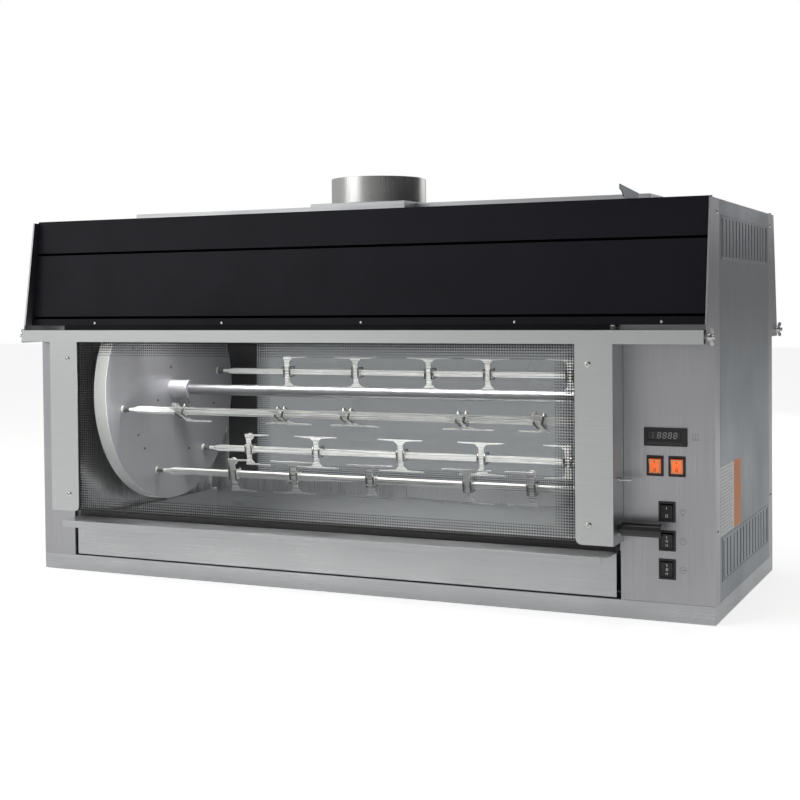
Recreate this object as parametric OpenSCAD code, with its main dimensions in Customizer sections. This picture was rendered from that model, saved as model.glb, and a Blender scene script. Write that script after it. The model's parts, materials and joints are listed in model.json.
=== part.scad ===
// Pass-through gas rotisserie for a counter, with a planetary six-spit rotor.
// +X runs to the control column, +Y runs to the back, +Z is up.
// The origin is the middle of the plinth's underside.
// Lengths are in millimetres and angles in degrees.

/* [Body] */
// Width of the plinth and of the two columns together
body_w = 1450; // [1300:10:1750]
// Depth between the front and rear faces of the columns
body_d = 540; // [520:10:660]
// Height of the hood's roof above the counter
hood_z = 740; // [730:5:900]
// Height of the plinth pan
plinth_h = 33; // [25:1:45]
// Thickness of the sheet metal
sheet = 2; // [1.5:0.5:3]
// Width of the left column, which holds the gear motor
left_col = 80; // [78:1:110]
// Width of the right column, which holds the controls
right_col = 169; // [150:1:220]
// Width of the corner strips on the sides
strip_w = 38; // [25:1:50]

/* [Hood] */
// How far the wings stand out of the columns at the top
wing_top = 23; // [15:1:40]
// How far the wings stand out at their lower tip
wing_tip = 63; // [50:1:75]
// Height of the wings' lower edge
wing_z = 487; // [470:1:500]
// Width of the folded edge along each wing
wing_fold = 4; // [3:1:14]
// Height of the hood panels' lower lip
lip_z = 522; // [518:1:540]
// Depth of the hood panels' surface behind the wings' edge at the lip
lip_inset = 24; // [18:1:30]
// Depth of the hood panels' surface behind the wings' edge at the roof
top_inset = 15; // [8:1:20]
// Thickness of the hood panels
hood_t = 3; // [2:0.5:5]
// Heights of the two pressed grooves in the hood panels
groove_z = [536, 670];
// Height of a pressed groove
groove_h = 5; // [3:1:8]
// Depth of the burner duct along the roof
duct_d = 96; // [80:2:120]
// Height of the burner duct
duct_h = 29; // [20:1:50]
// Width of the flue box
flue_w = 217; // [210:1:260]
// Depth of the flue box
flue_d = 208; // [206:2:240]
// Height of the flue box
flue_h = 31; // [22:1:60]
// Outer radius of the flue collar
collar_r = 100; // [75:1:102]
// Height of the flue collar above its box
collar_h = 54; // [40:1:80]
// Distance from the body's middle to the flue's axis
flue_x = -48; // [-200:1:200]

/* [Doors] */
// Side of the square door rail
rail = 24; // [20:1:26]
// Height of the door rail's lower edge
rail_z = 489; // [480:1:492]
// Distance from a column's face to the rail's outer face
rail_out = 65.5; // [60:0.5:75]
// Width of the stiles
stile_w = 69; // [50:1:85]
// Height of the lower edge of the doors
door_z = 138; // [130:1:160]
// Overlap of the door onto each column
door_lap = 6; // [4:1:10]
// Thickness of the glass
glass_t = 4; // [3:1:5]
// Radius of the pivot bolts
pivot_r = 4; // [3:0.5:5]
// Radius of the side handle
handle_r = 12; // [9:1:14]
// Length of the side handle
handle_len = 72; // [50:1:80]
// Height of the side handle
handle_z = 165; // [155:1:200]
// Radius of the catch pin
pin_r = 2.5; // [2:0.5:4]
// Length of the catch pin outside the stile
pin_len = 25; // [20:1:32]
// Distance from the door's pivot down to the catch pin
pin_drop = 250; // [248:1:252]
// Radius of the heads of the glass screws
screw_r = 6; // [4:0.5:8]

/* [Drip drawer] */
// Height of the ledge's upper face
ledge_z = 117; // [105:1:125]
// How far the ledge stands out of the columns
ledge_out = 62; // [40:1:64]
// Height of the ledge's folded lip
ledge_lip = 14; // [8:1:20]
// Chamfer on the ledge's outer corners
ledge_cut = 10; // [4:1:20]
// Gap beside the drawer front
drawer_gap = 8; // [4:1:12]
// Depth of the drip tray
tray_h = 66; // [40:1:68]

/* [Rotor] */
// Radius of the spit discs
disc_r = 248; // [235:1:250]
// Depth of the discs' rims
rim_w = 31; // [26:1:40]
// Distance from the drawer's ledge to the discs' lowest point
disc_gap = 7; // [5:1:30]
// Distance from the left column to the left disc's face
disc_in = 68; // [64:1:90]
// Distance from the right column to the right disc's face
disc_out = 58; // [50:1:90]
// Radius of the circle that the spits stand on
spit_pcr = 190; // [150:1:192]
// Angle of the first spit above the horizontal
spit_a0 = 10; // [0:1:59]
// Radius of the rotor shaft
shaft_r = 12; // [9:1:14]
// Radius of the left hub
hub_r = 21; // [18:1:26]
// Length of the left hub
hub_len = 48; // [30:1:60]
// Side of the square spits
spit_side = 12; // [9:0.5:14]
// Radius of the journals that carry the spits
journal_r = 8; // [6:0.5:10]
// Radius of the neck between a journal and its spit
neck_r = 3.5; // [2.5:0.5:5]
// Width of the gears
gear_w = 18; // [12:1:20]
// Teeth on the fixed sun gear, in sixes so that all planets mesh alike
sun_teeth = 60; // [54:6:66]
// Teeth on each planet pinion
planet_teeth = 16; // [14:2:20]

/* [Forks] */
// Height of the fork bars above the spit's axis
fork_h = 36; // [28:1:37]
// Half length of a fork's bar
fork_half = 54; // [40:1:60]
// Distance between the two legs of a fork's clip
fork_clip = 18; // [12:1:24]
// Fork plate thickness
fork_t = 2.5; // [2:0.5:3]

/* [Controls] */
// Width of the controller's bezel
ctrl_w = 76; // [60:1:90]
// Height of the controller's bezel
ctrl_h = 32; // [24:1:40]
// Height of the controller's middle
ctrl_z = 325; // [310:1:400]
// Width of a switch bezel
bezel_w = 30; // [26:1:34]
// Height of a switch bezel
bezel_h = 36; // [30:1:42]
// How far a rocker swings between its positions
rock = 14; // [8:1:18]

/* [Fits] */
// Radial clearance of the running fits
run = 0.05; // [0.02:0.01:0.1]
// Gap between panels that lie side by side
gap = 0.5; // [0.2:0.1:1]

/* [Hidden] */
$fn = 48;
cx0 = -body_w / 2 + left_col; // left wall of the cavity
cx1 = body_w / 2 - right_col; // right wall of the cavity
yf = body_d / 2; // the columns' faces are at -yf and +yf
cav_mid = (cx0 + cx1) / 2;
drawer_x0 = cx0 + drawer_gap;
drawer_x1 = cx1 - drawer_gap;
// rotor
hub_z = ledge_z + disc_gap + disc_r;
disc_x0 = cx0 + disc_in; // face of the left disc
disc_x1 = cx1 - disc_out; // face of the right disc
gear_x = disc_x0 - sheet - 4 - gear_w;
spit_count = 6;
spit_step = 360 / spit_count;
gear_m = 2 * spit_pcr / (sun_teeth + planet_teeth);
pressure = 20;
tooth_tip = 0.85;
tooth_root = 1.15;
backlash = 0.35;
shaft_x0 = cx0 - 46;
shaft_x1 = cx1 + 20;
bush_r = shaft_r + 8;
bar_x0 = disc_x0 + 42;
bar_x1 = disc_x1 - 8;
taper = 22;
fork_off = spit_side / 2 + 0.3;
leg_over = 4;
// rest angle of each spit's forks
fork_tilt = [4, 30, -20, 62, 12, 5];
// fork places along each spit from the cavity's middle, end forks first and last
fork_x = [
    [-336, -156, 28, 170, 360],
    [-380, -180, 10, 200, 390],
    [-390, -200, 0, 190, 380],
    [-380, -138, 14, 263, 422],
    [-328, -176, 6, 225, 362],
    [-403, -225, -13, 180, 375]
];
// doors
pivot_y = yf + rail_out - rail / 2;
pivot_z = rail_z + rail / 2;
rail_x = body_w / 2 - sheet - 2.5;
stile_x0 = cx0 - door_lap;
stile_x1 = cx1 + door_lap;
stile_y = yf + rail_out;
glass_y = stile_y - sheet - glass_t - 0.2;
glass_over = 12;
door_back = yf + 2;
pin_y = pivot_y - 18.5;
pin_z = pivot_z - pin_drop;
screw_in = 24;
screw_dz = 35;
pivot_out = 12;
pivot_deep = 22;
// hood
lip_y = yf + wing_tip - lip_inset - (lip_z - wing_z) * (wing_tip - wing_top) / (hood_z - wing_z);
top_y = yf + wing_top - top_inset;
ceil_z = hub_z + disc_r + 26;
burner_y0 = 58;
burner_w = 104;
burner_h = 46;
tile_h = 14;
burner_x0 = cx0 + 130;
burner_x1 = cx1 - 130;
pipe_r = 8;
pipe_z = ceil_z + 28;
pipe_y = burner_y0 + burner_w / 2;
valve = 36;
valve_x = cx1 + 40;
drop_x = valve_x + valve + 26;
inlet_z = plinth_h + 90;
inlet_r = 10.5;
inlet_len = 24;
gland_x = cx1 + 120;
gland_z = plinth_h + 50;
gland_bore = 6;
lamp_x = cav_mid + 330;
lamp_r = 22;
probe_r = 3;
probe_y = 235;
probe_z = ceil_z - 40;
// drawer
drawer_low = plinth_h + 3;
tray_z = ledge_z - 7 - tray_h;
tray_in = 7;
runner_w = 12;
// controls, from the control column's left edge
ctrl_x = cx1 + 82;
lit_x = [cx1 + 63, cx1 + 102];
lit_z = ctrl_z - 51;
dark_x = cx1 + 84;
dark_z = [ctrl_z - 131, ctrl_z - 182, ctrl_z - 232];
switch_at = [
    [lit_x[0], lit_z],
    [lit_x[1], lit_z],
    [dark_x, dark_z[0]],
    [dark_x, dark_z[1]],
    [dark_x, dark_z[2]]
];
// the first four rest with the lower half pressed, the last rests in the middle
switch_rest = [-rock / 2, -rock / 2, -rock / 2, -rock / 2, 0];
bezel_t = 2.5;
well_w = bezel_w - 8;
well_h = bezel_h - 8;
well_d = 14;
rocker_gap = 0.6;
// side panels
vent_n = 15;
vent_pitch = 29;
vent_w = 7;
vent_h = [68, 70];
vent_low = [ledge_z - 45, hood_z - 100];
vent_len = [66, 68];
screw_side = [plinth_h + 126, hood_z - 24];
catch_len = 120;
catch_x = stile_x1 + pin_len / 2 - 4;

// ---- helpers ----

// a box from its lowest corner to its highest corner
module block(a, b) {
    translate(a)
        cube([b[0] - a[0], b[1] - a[1], b[2] - a[2]]);
}

// an outline in (Y, Z) pulled along X
module along_x(x0, x1) {
    translate([x0, 0, 0])
        rotate([90, 0, 90])
            linear_extrude(x1 - x0)
                children();
}

module rod_x(x0, x1, y, z, r) {
    translate([x0, y, z])
        rotate([0, 90, 0])
            cylinder(h = x1 - x0, r = r);
}

module rod_y(x, y0, y1, z, r) {
    translate([x, y0, z])
        rotate([-90, 0, 0])
            cylinder(h = y1 - y0, r = r);
}

module rod_z(x, y, z0, z1, r) {
    translate([x, y, z0])
        cylinder(h = z1 - z0, r = r);
}

// the part is drawn at the back and mirrored to the front
module front_and_rear() {
    children();
    mirror([0, 1, 0])
        children();
}

module at_front() {
    mirror([0, 1, 0])
        children();
}

module both_ends() {
    children();
    mirror([1, 0, 0])
        children();
}

// ---- casing ----

module base_plinth() {
    color("silver")
        difference() {
            block([-body_w / 2, -yf, 0], [body_w / 2, yf, plinth_h]);
            block([-body_w / 2 + sheet, -yf + sheet, sheet],
                  [body_w / 2 - sheet, yf - sheet, plinth_h - sheet]);
            block([-body_w / 2 + 30, -yf + 30, sheet],
                  [body_w / 2 - 30, yf - 30, plinth_h + 1]);
        }
}

// a column's folded shell: two faces, four corner strips and a floor
module column_shell(x0, x1, outer) {
    z0 = plinth_h;
    z1 = hood_z - sheet - gap;
    strip_x = outer < 0 ? x0 : x1 - sheet;
    front_and_rear() {
        block([x0, yf - sheet, z0], [x1, yf, z1]);
        block([strip_x, yf - strip_w, z0], [strip_x + sheet, yf, z1]);
    }
    block([x0 + sheet + gap, -yf, z0], [x1 - sheet - gap, yf, z0 + sheet]);
}

module left_cabinet() {
    color("silver")
        column_shell(-body_w / 2, cx0, -1);
}

module right_cabinet() {
    color("silver")
        difference() {
            column_shell(cx1, body_w / 2, 1);
            for (s = switch_at)
                block([s[0] - bezel_w / 2 + 2, -yf - 1, s[1] - bezel_h / 2 + 2],
                      [s[0] + bezel_w / 2 - 2, -yf + sheet + 1, s[1] + bezel_h / 2 - 2]);
            block([ctrl_x - ctrl_w / 2 + 3, -yf - 1, ctrl_z - ctrl_h / 2 + 3],
                  [ctrl_x + ctrl_w / 2 - 3, -yf + sheet + 1, ctrl_z + ctrl_h / 2 - 3]);
            rod_y(drop_x, yf - 10, yf + 10, inlet_z, pipe_r + 1);
            rod_y(gland_x, yf - 10, yf + 10, gland_z, gland_bore + 4 + run);
        }
}

module side_panel() {
    x0 = body_w / 2 - sheet;
    slot_y = strip_w + gap;
    difference() {
        block([x0, -yf + slot_y, plinth_h], [x0 + sheet, yf - slot_y, hood_z - sheet - gap]);
        for (row = [0, 1], i = [0 : vent_n - 1])
            translate([x0 - 1, (i - (vent_n - 1) / 2) * vent_pitch - vent_w / 2, vent_low[row]])
                cube([sheet + 2, vent_w, vent_len[row]]);
    }
}

module side_panels() {
    color("silver")
        both_ends()
            side_panel();
}

// a cavity side wall with the runner that the drip tray slides on
module inner_wall(x0, side) {
    reach = drawer_gap + tray_in + runner_w;
    difference() {
        union() {
            block([x0, -yf + sheet + gap, plinth_h + sheet],
                  [x0 + sheet, yf - sheet - gap, hood_z - sheet - gap]);
            block([side < 0 ? x0 : x0 - reach, -yf + 20, tray_z - 0.3 - sheet],
                  [side < 0 ? x0 + sheet + reach : x0 + sheet, yf - 20, tray_z - 0.3]);
        }
        rod_x(x0 - 1, x0 + sheet + 1, 0, hub_z, shaft_r + 3);
        if (side > 0) {
            front_and_rear()
                rod_x(x0 - 1, x0 + sheet + 1, pipe_y, pipe_z, pipe_r + 1);
            rod_x(x0 - 1, x0 + sheet + 1, probe_y, probe_z, probe_r + 0.5);
        }
    }
}

module left_inner_wall() {
    color("silver")
        inner_wall(cx0 - sheet, -1);
}

module right_inner_wall() {
    color("silver")
        inner_wall(cx1, 1);
}

module ceiling_plate() {
    color("silver")
        difference() {
            block([cx0, -yf + 1, ceil_z], [cx1, yf - 1, ceil_z + sheet]);
            front_and_rear()
                block([burner_x0 + 6, burner_y0 + 6, ceil_z - 1],
                      [burner_x1 - 6, burner_y0 + burner_w - 6, ceil_z + sheet + 1]);
            block([flue_x - 100, -40, ceil_z - 1], [flue_x + 100, 40, ceil_z + sheet + 1]);
            rod_z(lamp_x, 0, ceil_z - 1, ceil_z + sheet + 1, lamp_r - 4);
        }
}

// ---- hood ----

module hood_roof() {
    color("silver")
        difference() {
            union() {
                block([-body_w / 2, -yf, hood_z - sheet], [body_w / 2, yf, hood_z]);
                block([-body_w / 2 + sheet + gap, -top_y + hood_t, hood_z - sheet],
                      [body_w / 2 - sheet - gap, top_y - hood_t, hood_z]);
            }
            rod_z(flue_x, 0, hood_z - sheet - 1, hood_z + 1, collar_r - 8);
        }
}

// the slope of the outer face between the lip and the roof
function hood_y(z) = lip_y + (top_y - lip_y) * (z - lip_z) / (hood_z - lip_z);

module hood_outline() {
    groove_d = 1.2;
    polygon([
        [lip_y, lip_z],
        for (g = groove_z) each [
            [hood_y(g), g],
            [hood_y(g) - groove_d, g],
            [hood_y(g + groove_h) - groove_d, g + groove_h],
            [hood_y(g + groove_h), g + groove_h]
        ],
        [top_y, hood_z + 3],
        [top_y - hood_t, hood_z + 3],
        [lip_y - hood_t, lip_z + hood_t],
        [lip_y - 18, lip_z + hood_t],
        [lip_y - 18, lip_z]
    ]);
}

module hood_panels() {
    color("#222227")
        front_and_rear()
            along_x(-body_w / 2 + sheet, body_w / 2 - sheet)
                hood_outline();
}

// a wing's outline, which narrows from its tip to the roof
module wing_outline() {
    polygon([
        [yf, wing_z],
        [yf + wing_tip, wing_z],
        [yf + wing_top, hood_z],
        [yf, hood_z]
    ]);
}

function wing_y(z) = yf + wing_tip + (wing_top - wing_tip) * (z - wing_z) / (hood_z - wing_z);

module fold_outline() {
    polygon([
        [wing_y(lip_z), lip_z],
        [wing_y(hood_z), hood_z],
        [wing_y(hood_z) - sheet, hood_z],
        [wing_y(lip_z) - sheet, lip_z]
    ]);
}

module wing() {
    x1 = body_w / 2;
    difference() {
        union() {
            along_x(x1 - sheet, x1)
                wing_outline();
            along_x(x1 - wing_fold, x1)
                fold_outline();
        }
        rod_x(x1 - sheet - 1, x1 + 1, pivot_y, pivot_z, pivot_r + run);
    }
}

module wings() {
    color("silver")
        both_ends()
            front_and_rear()
                wing();
}

module lid_box(x0, x1, y1, z0, z1) {
    difference() {
        block([x0, -y1, z0], [x1, y1, z1]);
        block([x0 + sheet, -y1 + sheet, z0 - 1], [x1 - sheet, y1 - sheet, z1 - sheet]);
    }
}

module roof_duct() {
    color("silver") {
        lid_box(cx0 + 8, flue_x - flue_w / 2, duct_d / 2, hood_z, hood_z + duct_h);
        lid_box(flue_x + flue_w / 2, cx1 - 2, duct_d / 2, hood_z, hood_z + duct_h);
    }
}

module flue_box() {
    color("silver")
        difference() {
            lid_box(flue_x - flue_w / 2, flue_x + flue_w / 2, flue_d / 2, hood_z, hood_z + flue_h);
            rod_z(flue_x, 0, hood_z, hood_z + flue_h + 1, collar_r - sheet);
        }
}

module flue_collar() {
    color("silver")
        difference() {
            union() {
                rod_z(flue_x, 0, hood_z + flue_h, hood_z + flue_h + collar_h, collar_r);
                rod_z(flue_x, 0, hood_z + flue_h, hood_z + flue_h + sheet, collar_r + 3.5);
            }
            rod_z(flue_x, 0, hood_z + flue_h - 1, hood_z + flue_h + collar_h + 1, collar_r - sheet);
        }
}

module panel_screws() {
    color("silver")
        both_ends()
            front_and_rear()
                for (z = screw_side)
                    rod_x(body_w / 2, body_w / 2 + 2, yf - strip_w / 2, z, 4);
}

// a hooked plate that holds the catch pin of an open door
module catch_outline() {
    tip_y = pivot_y - 5;
    tip_z = hood_z + 26;
    pin_top = pivot_z + norm([pin_drop, pivot_y - pin_y]) + pin_r;
    polygon([
        [tip_y - catch_len, hood_z],
        [top_y - hood_t - 2, hood_z],
        [top_y - hood_t - 2, hood_z + 4],
        [top_y + 14, hood_z + 4],
        [tip_y - 12, pin_top + 1],
        [tip_y - 1, pin_top + 2],
        [tip_y, tip_z],
        [tip_y - 3, tip_z],
        [tip_y - catch_len, hood_z + 18]
    ]);
}

module catch_brackets() {
    color("silver")
        front_and_rear() {
            along_x(catch_x, catch_x + sheet)
                catch_outline();
            block([catch_x + sheet, pivot_y - 5 - catch_len, hood_z],
                  [catch_x + 16, top_y - hood_t - 14, hood_z + sheet]);
        }
}

// ---- lower front and rear ----

// a ledge with a folded lip and chamfered corners over a lower panel
module ledge_and_panel() {
    y1 = yf + ledge_out;
    translate([0, 0, ledge_z - sheet])
        linear_extrude(sheet)
            polygon([
                [drawer_x0, yf - sheet],
                [drawer_x1, yf - sheet],
                [drawer_x1, y1 - ledge_cut],
                [drawer_x1 - ledge_cut, y1],
                [drawer_x0 + ledge_cut, y1],
                [drawer_x0, y1 - ledge_cut]
            ]);
    block([drawer_x0 + ledge_cut, y1 - sheet, ledge_z - ledge_lip],
          [drawer_x1 - ledge_cut, y1, ledge_z - sheet]);
    block([drawer_x0, yf - sheet, drawer_low], [drawer_x1, yf, ledge_z - sheet]);
}

module rear_lower_panel() {
    color("silver")
        ledge_and_panel();
}

module drip_drawer() {
    x0 = drawer_x0 + tray_in;
    x1 = drawer_x1 - tray_in;
    color("silver") {
        at_front()
            ledge_and_panel();
        difference() {
            block([x0, -yf + sheet, tray_z], [x1, yf - 12, tray_z + tray_h]);
            block([x0 + sheet, -yf + 2 * sheet, tray_z + sheet],
                  [x1 - sheet, yf - 12 - sheet, tray_z + tray_h + 1]);
        }
    }
}

// ---- drive ----

module gear_motor() {
    x1 = cx0 - sheet;
    x0 = -body_w / 2 + sheet + 4;
    color("dimgray")
        difference() {
            union() {
                block([x0, -55, hub_z - 55], [x1, 55, hub_z + 60]);
                rod_z((x0 + x1) / 2, 0, hub_z - 210, hub_z - 55, 34);
                rod_z((x0 + x1) / 2, 0, hub_z - 222, hub_z - 210, 30);
            }
            rod_x(shaft_x0 - 1, x1 + 1, 0, hub_z, shaft_r + run);
        }
}

// half the angle of a tooth at radius r
function inv(a) = tan(a) * 180 / PI - a;
function half_tooth(n, r) =
    let (rb = gear_m * n / 2 * cos(pressure))
    90 / n + inv(pressure) - inv(acos(min(1, rb / max(r, rb)))) - backlash * 180 / (PI * gear_m * n);

// an involute spur gear whose first tooth points along the first axis
module gear_outline(n) {
    rp = gear_m * n / 2;
    radii = [rp - tooth_root * gear_m, max(rp * cos(pressure), rp - tooth_root * gear_m + 0.4),
             rp, rp + tooth_tip / 2 * gear_m, rp + tooth_tip * gear_m];
    last = len(radii) - 1;
    polygon([
        for (i = [0 : n - 1]) each [
            for (j = [0 : last])
                let (a = i * 360 / n - half_tooth(n, radii[j]))
                radii[j] * [cos(a), sin(a)],
            for (j = [last : -1 : 0])
                let (a = i * 360 / n + half_tooth(n, radii[j]))
                radii[j] * [cos(a), sin(a)]
        ]
    ]);
}

module sun_gear() {
    color("#8a8a86")
        translate([0, 0, hub_z])
            difference() {
                union() {
                    along_x(gear_x, gear_x + gear_w)
                        rotate(spit_a0)
                            gear_outline(sun_teeth);
                    rod_x(cx0, gear_x + 1, 0, 0, bush_r + 22);
                    rod_x(cx0, cx0 + 5, 0, 0, bush_r + 40);
                }
                rod_x(cx0 - 1, gear_x + gear_w + 1, 0, 0, bush_r + run);
            }
}

module shaft_bearings() {
    color("#9a8f6a")
        translate([0, 0, hub_z]) {
            difference() {
                rod_x(cx0, gear_x + gear_w, 0, 0, bush_r);
                rod_x(cx0 - 1, gear_x + gear_w + 1, 0, 0, shaft_r + run);
            }
            difference() {
                union() {
                    rod_x(cx1 - 6, cx1, 0, 0, bush_r + 16);
                    rod_x(cx1 - 16, cx1, 0, 0, bush_r + 4);
                }
                rod_x(cx1 - 17, cx1 + 1, 0, 0, shaft_r + run);
            }
        }
}

module rotor_shaft() {
    color("gainsboro")
        rod_x(shaft_x0, shaft_x1, 0, hub_z, shaft_r);
}

// places its children at spit i, with its own direction away from the shaft
function spit_angle(i) = spit_a0 + i * spit_step;

module at_spit(i) {
    translate([0, spit_pcr * cos(spit_angle(i)), hub_z + spit_pcr * sin(spit_angle(i))])
        children();
}

// a dished disc that carries the spits, with its rim on the side of rim_dx
module spit_disc(face, rim_dx, hub) {
    x0 = min(face, face + rim_dx);
    x1 = max(face, face + rim_dx);
    plate_x = rim_dx < 0 ? face - sheet : face;
    color("silver")
        difference() {
            union() {
                difference() {
                    rod_x(x0, x1, 0, hub_z, disc_r);
                    rod_x(rim_dx < 0 ? x0 - 1 : face + sheet, rim_dx < 0 ? face - sheet : x1 + 1,
                          0, hub_z, disc_r - sheet);
                }
                if (hub > 0)
                    rod_x(face, face + hub, 0, hub_z, hub_r);
                else
                    rod_x(face + sheet, face + sheet - hub, 0, hub_z, hub_r);
            }
            rod_x(x0 - 1, x1 + abs(hub) + 1, 0, hub_z, shaft_r);
            for (i = [0 : spit_count - 1])
                at_spit(i)
                    rod_x(plate_x - 1, plate_x + sheet + 1, 0, 0, journal_r + run);
        }
}

module left_disc() {
    spit_disc(disc_x0, -rim_w, hub_len);
}

module right_disc() {
    spit_disc(disc_x1, rim_w, -20);
}

// a pinion with its journal, then the spit's neck, its taper and its square bar
module spit(i) {
    half = spit_side / 2;
    color("gainsboro")
        at_spit(i) {
            along_x(gear_x, gear_x + gear_w)
                rotate(spit_angle(i) + 180 + 180 / planet_teeth)
                    gear_outline(planet_teeth);
            rod_x(gear_x + gear_w / 2, disc_x0 + 3, 0, 0, journal_r);
            rod_x(disc_x0, bar_x0 - 4, 0, 0, neck_r);
            rotate([fork_tilt[i], 0, 0])
                intersection() {
                    spit_side_view(half);
                    rotate([90, 0, 0])
                        spit_side_view(half);
                }
            rod_x(bar_x1 - 3, disc_x1 + sheet + 6, 0, 0, journal_r);
            rod_x(disc_x1 + sheet, disc_x1 + sheet + 20, 0, 0, journal_r - 2);
        }
}

// the square bar and its taper, seen from one side
module spit_side_view(half) {
    translate([0, half + 1, 0])
        rotate([90, 0, 0])
            linear_extrude(spit_side + 2)
                polygon([
                    [bar_x0 - taper, -1.5],
                    [bar_x0, -half],
                    [bar_x1, -half],
                    [bar_x1, half],
                    [bar_x0, half],
                    [bar_x0 - taper, 1.5]
                ]);
}

// the bars and web of a fork: both halves, or only the half that faces inwards
module fork_outline(side) {
    lo = side > 0 ? -fork_clip / 2 : -fork_half;
    hi = side < 0 ? fork_clip / 2 : fork_half;
    for (m = [0, 1])
        mirror([0, m])
            polygon([
                [-fork_clip / 2, 0],
                [-6, 10],
                [-6, fork_h - 12],
                [max(lo, -14), fork_h - 4],
                [lo, fork_h - (side > 0 ? 4 : 1.5)],
                [lo, fork_h],
                [hi, fork_h],
                [hi, fork_h - (side < 0 ? 4 : 1.5)],
                [min(hi, 14), fork_h - 4],
                [6, fork_h - 12],
                [6, 10],
                [fork_clip / 2, 0]
            ]);
}

// a pressed fork: a plate with pointed bars and two clip legs round the spit
module fork(side) {
    hole = spit_side / 2 + 0.2;
    leg = spit_side / 2 + leg_over;
    translate([0, -fork_off, 0])
        rotate([90, 0, 0])
            linear_extrude(fork_t)
                fork_outline(side);
    for (x = [-fork_clip / 2, fork_clip / 2 - 2])
        difference() {
            block([x, -fork_off - fork_t, -leg], [x + 2, leg, leg]);
            block([x - 1, -hole, -hole], [x + 3, hole, hole]);
        }
}

// a thumb screw that clamps an end fork
module thumb_screw() {
    top = spit_side / 2 + leg_over;
    rod_z(0, 0, spit_side / 2 + 0.2, top + 13, 2);
    translate([0, -3, top + 19])
        rotate([-90, 0, 0])
            cylinder(h = 6, r = 8);
}

module forks(i) {
    last = len(fork_x[i]) - 1;
    color("gainsboro")
        at_spit(i)
            rotate([fork_tilt[i], 0, 0])
                for (k = [0 : last])
                    translate([cav_mid + fork_x[i][k], 0, 0]) {
                        fork(k == 0 ? 1 : k == last ? -1 : 0);
                        if (k == 0 || k == last)
                            thumb_screw();
                    }
}

// ---- gas and electrical parts ----

module burners() {
    color("lightgray")
        front_and_rear()
            difference() {
                block([burner_x0, burner_y0, ceil_z + sheet],
                      [burner_x1, burner_y0 + burner_w, ceil_z + sheet + burner_h]);
                block([burner_x0 + 6, burner_y0 + 6, ceil_z + sheet - 1],
                      [burner_x1 - 6, burner_y0 + burner_w - 6, ceil_z + sheet + burner_h - sheet]);
                rod_x(burner_x1 - 10, burner_x1 + 1, pipe_y, pipe_z, pipe_r);
            }
}

module burner_tiles() {
    tiles = 8;
    pitch = (burner_x1 - burner_x0 - 12) / tiles;
    color("ivory")
        front_and_rear()
            for (i = [0 : tiles - 1])
                translate([burner_x0 + 6 + gap + i * pitch, burner_y0 + 6 + gap, ceil_z - 4])
                    cube([pitch - gap, burner_w - 12 - 2 * gap, tile_h]);
}

module gas_manifold() {
    color("darkgoldenrod") {
        front_and_rear() {
            rod_x(burner_x1 - 6, valve_x, pipe_y, pipe_z, pipe_r - run);
            rod_x(valve_x + valve, drop_x, pipe_y, pipe_z, pipe_r);
            pipe_fitting(pipe_y, pipe_z);
        }
        rod_y(drop_x, -pipe_y, pipe_y, pipe_z, pipe_r);
        pipe_fitting(0, pipe_z);
        rod_z(drop_x, 0, inlet_z, pipe_z, pipe_r);
        pipe_fitting(0, inlet_z);
        rod_y(drop_x, 0, yf + 1, inlet_z, pipe_r);
        rod_y(drop_x, yf, yf + inlet_len, inlet_z, inlet_r);
    }
}

// a square tee or elbow where pipes meet
module pipe_fitting(y, z) {
    h = pipe_r + 3;
    block([drop_x - h, y - h, z - h], [drop_x + h, y + h, z + h]);
}

module gas_valves() {
    h = valve / 2;
    color("goldenrod")
        front_and_rear() {
            block([valve_x, pipe_y - h, pipe_z - h], [valve_x + valve, pipe_y + h, pipe_z + h]);
            rod_z(valve_x + h, pipe_y, pipe_z + h, pipe_z + h + 16, 13);
        }
}

module lamp() {
    color("whitesmoke") {
        rod_z(lamp_x, 0, ceil_z - 5, ceil_z, lamp_r);
        rod_z(lamp_x, 0, ceil_z, ceil_z + 34, lamp_r - 5);
        rod_z(lamp_x, 0, ceil_z - 13, ceil_z - 5, lamp_r - 6);
    }
}

module controller() {
    color("#2b2b30")
        difference() {
            union() {
                block([ctrl_x - ctrl_w / 2, -yf - 5, ctrl_z - ctrl_h / 2],
                      [ctrl_x + ctrl_w / 2, -yf, ctrl_z + ctrl_h / 2]);
                block([ctrl_x - ctrl_w / 2 + 3.2, -yf, ctrl_z - ctrl_h / 2 + 3.2],
                      [ctrl_x + ctrl_w / 2 - 3.2, -yf + 60, ctrl_z + ctrl_h / 2 - 3.2]);
            }
            block([ctrl_x - ctrl_w / 2 + 7, -yf - 6, ctrl_z - 5],
                  [ctrl_x + ctrl_w / 2 - 10, -yf - 4, ctrl_z + ctrl_h / 2 - 5]);
        }
}

module switch_bezels() {
    color("#18181a")
        for (s = switch_at)
            translate([s[0], -yf, s[1]])
                difference() {
                    union() {
                        block([-bezel_w / 2, -bezel_t, -bezel_h / 2], [bezel_w / 2, 0, bezel_h / 2]);
                        block([-bezel_w / 2 + 2.2, 0, -bezel_h / 2 + 2.2],
                              [bezel_w / 2 - 2.2, 26, bezel_h / 2 - 2.2]);
                    }
                    block([-well_w / 2, -bezel_t - 1, -well_h / 2], [well_w / 2, well_d, well_h / 2]);
                }
}

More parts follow.
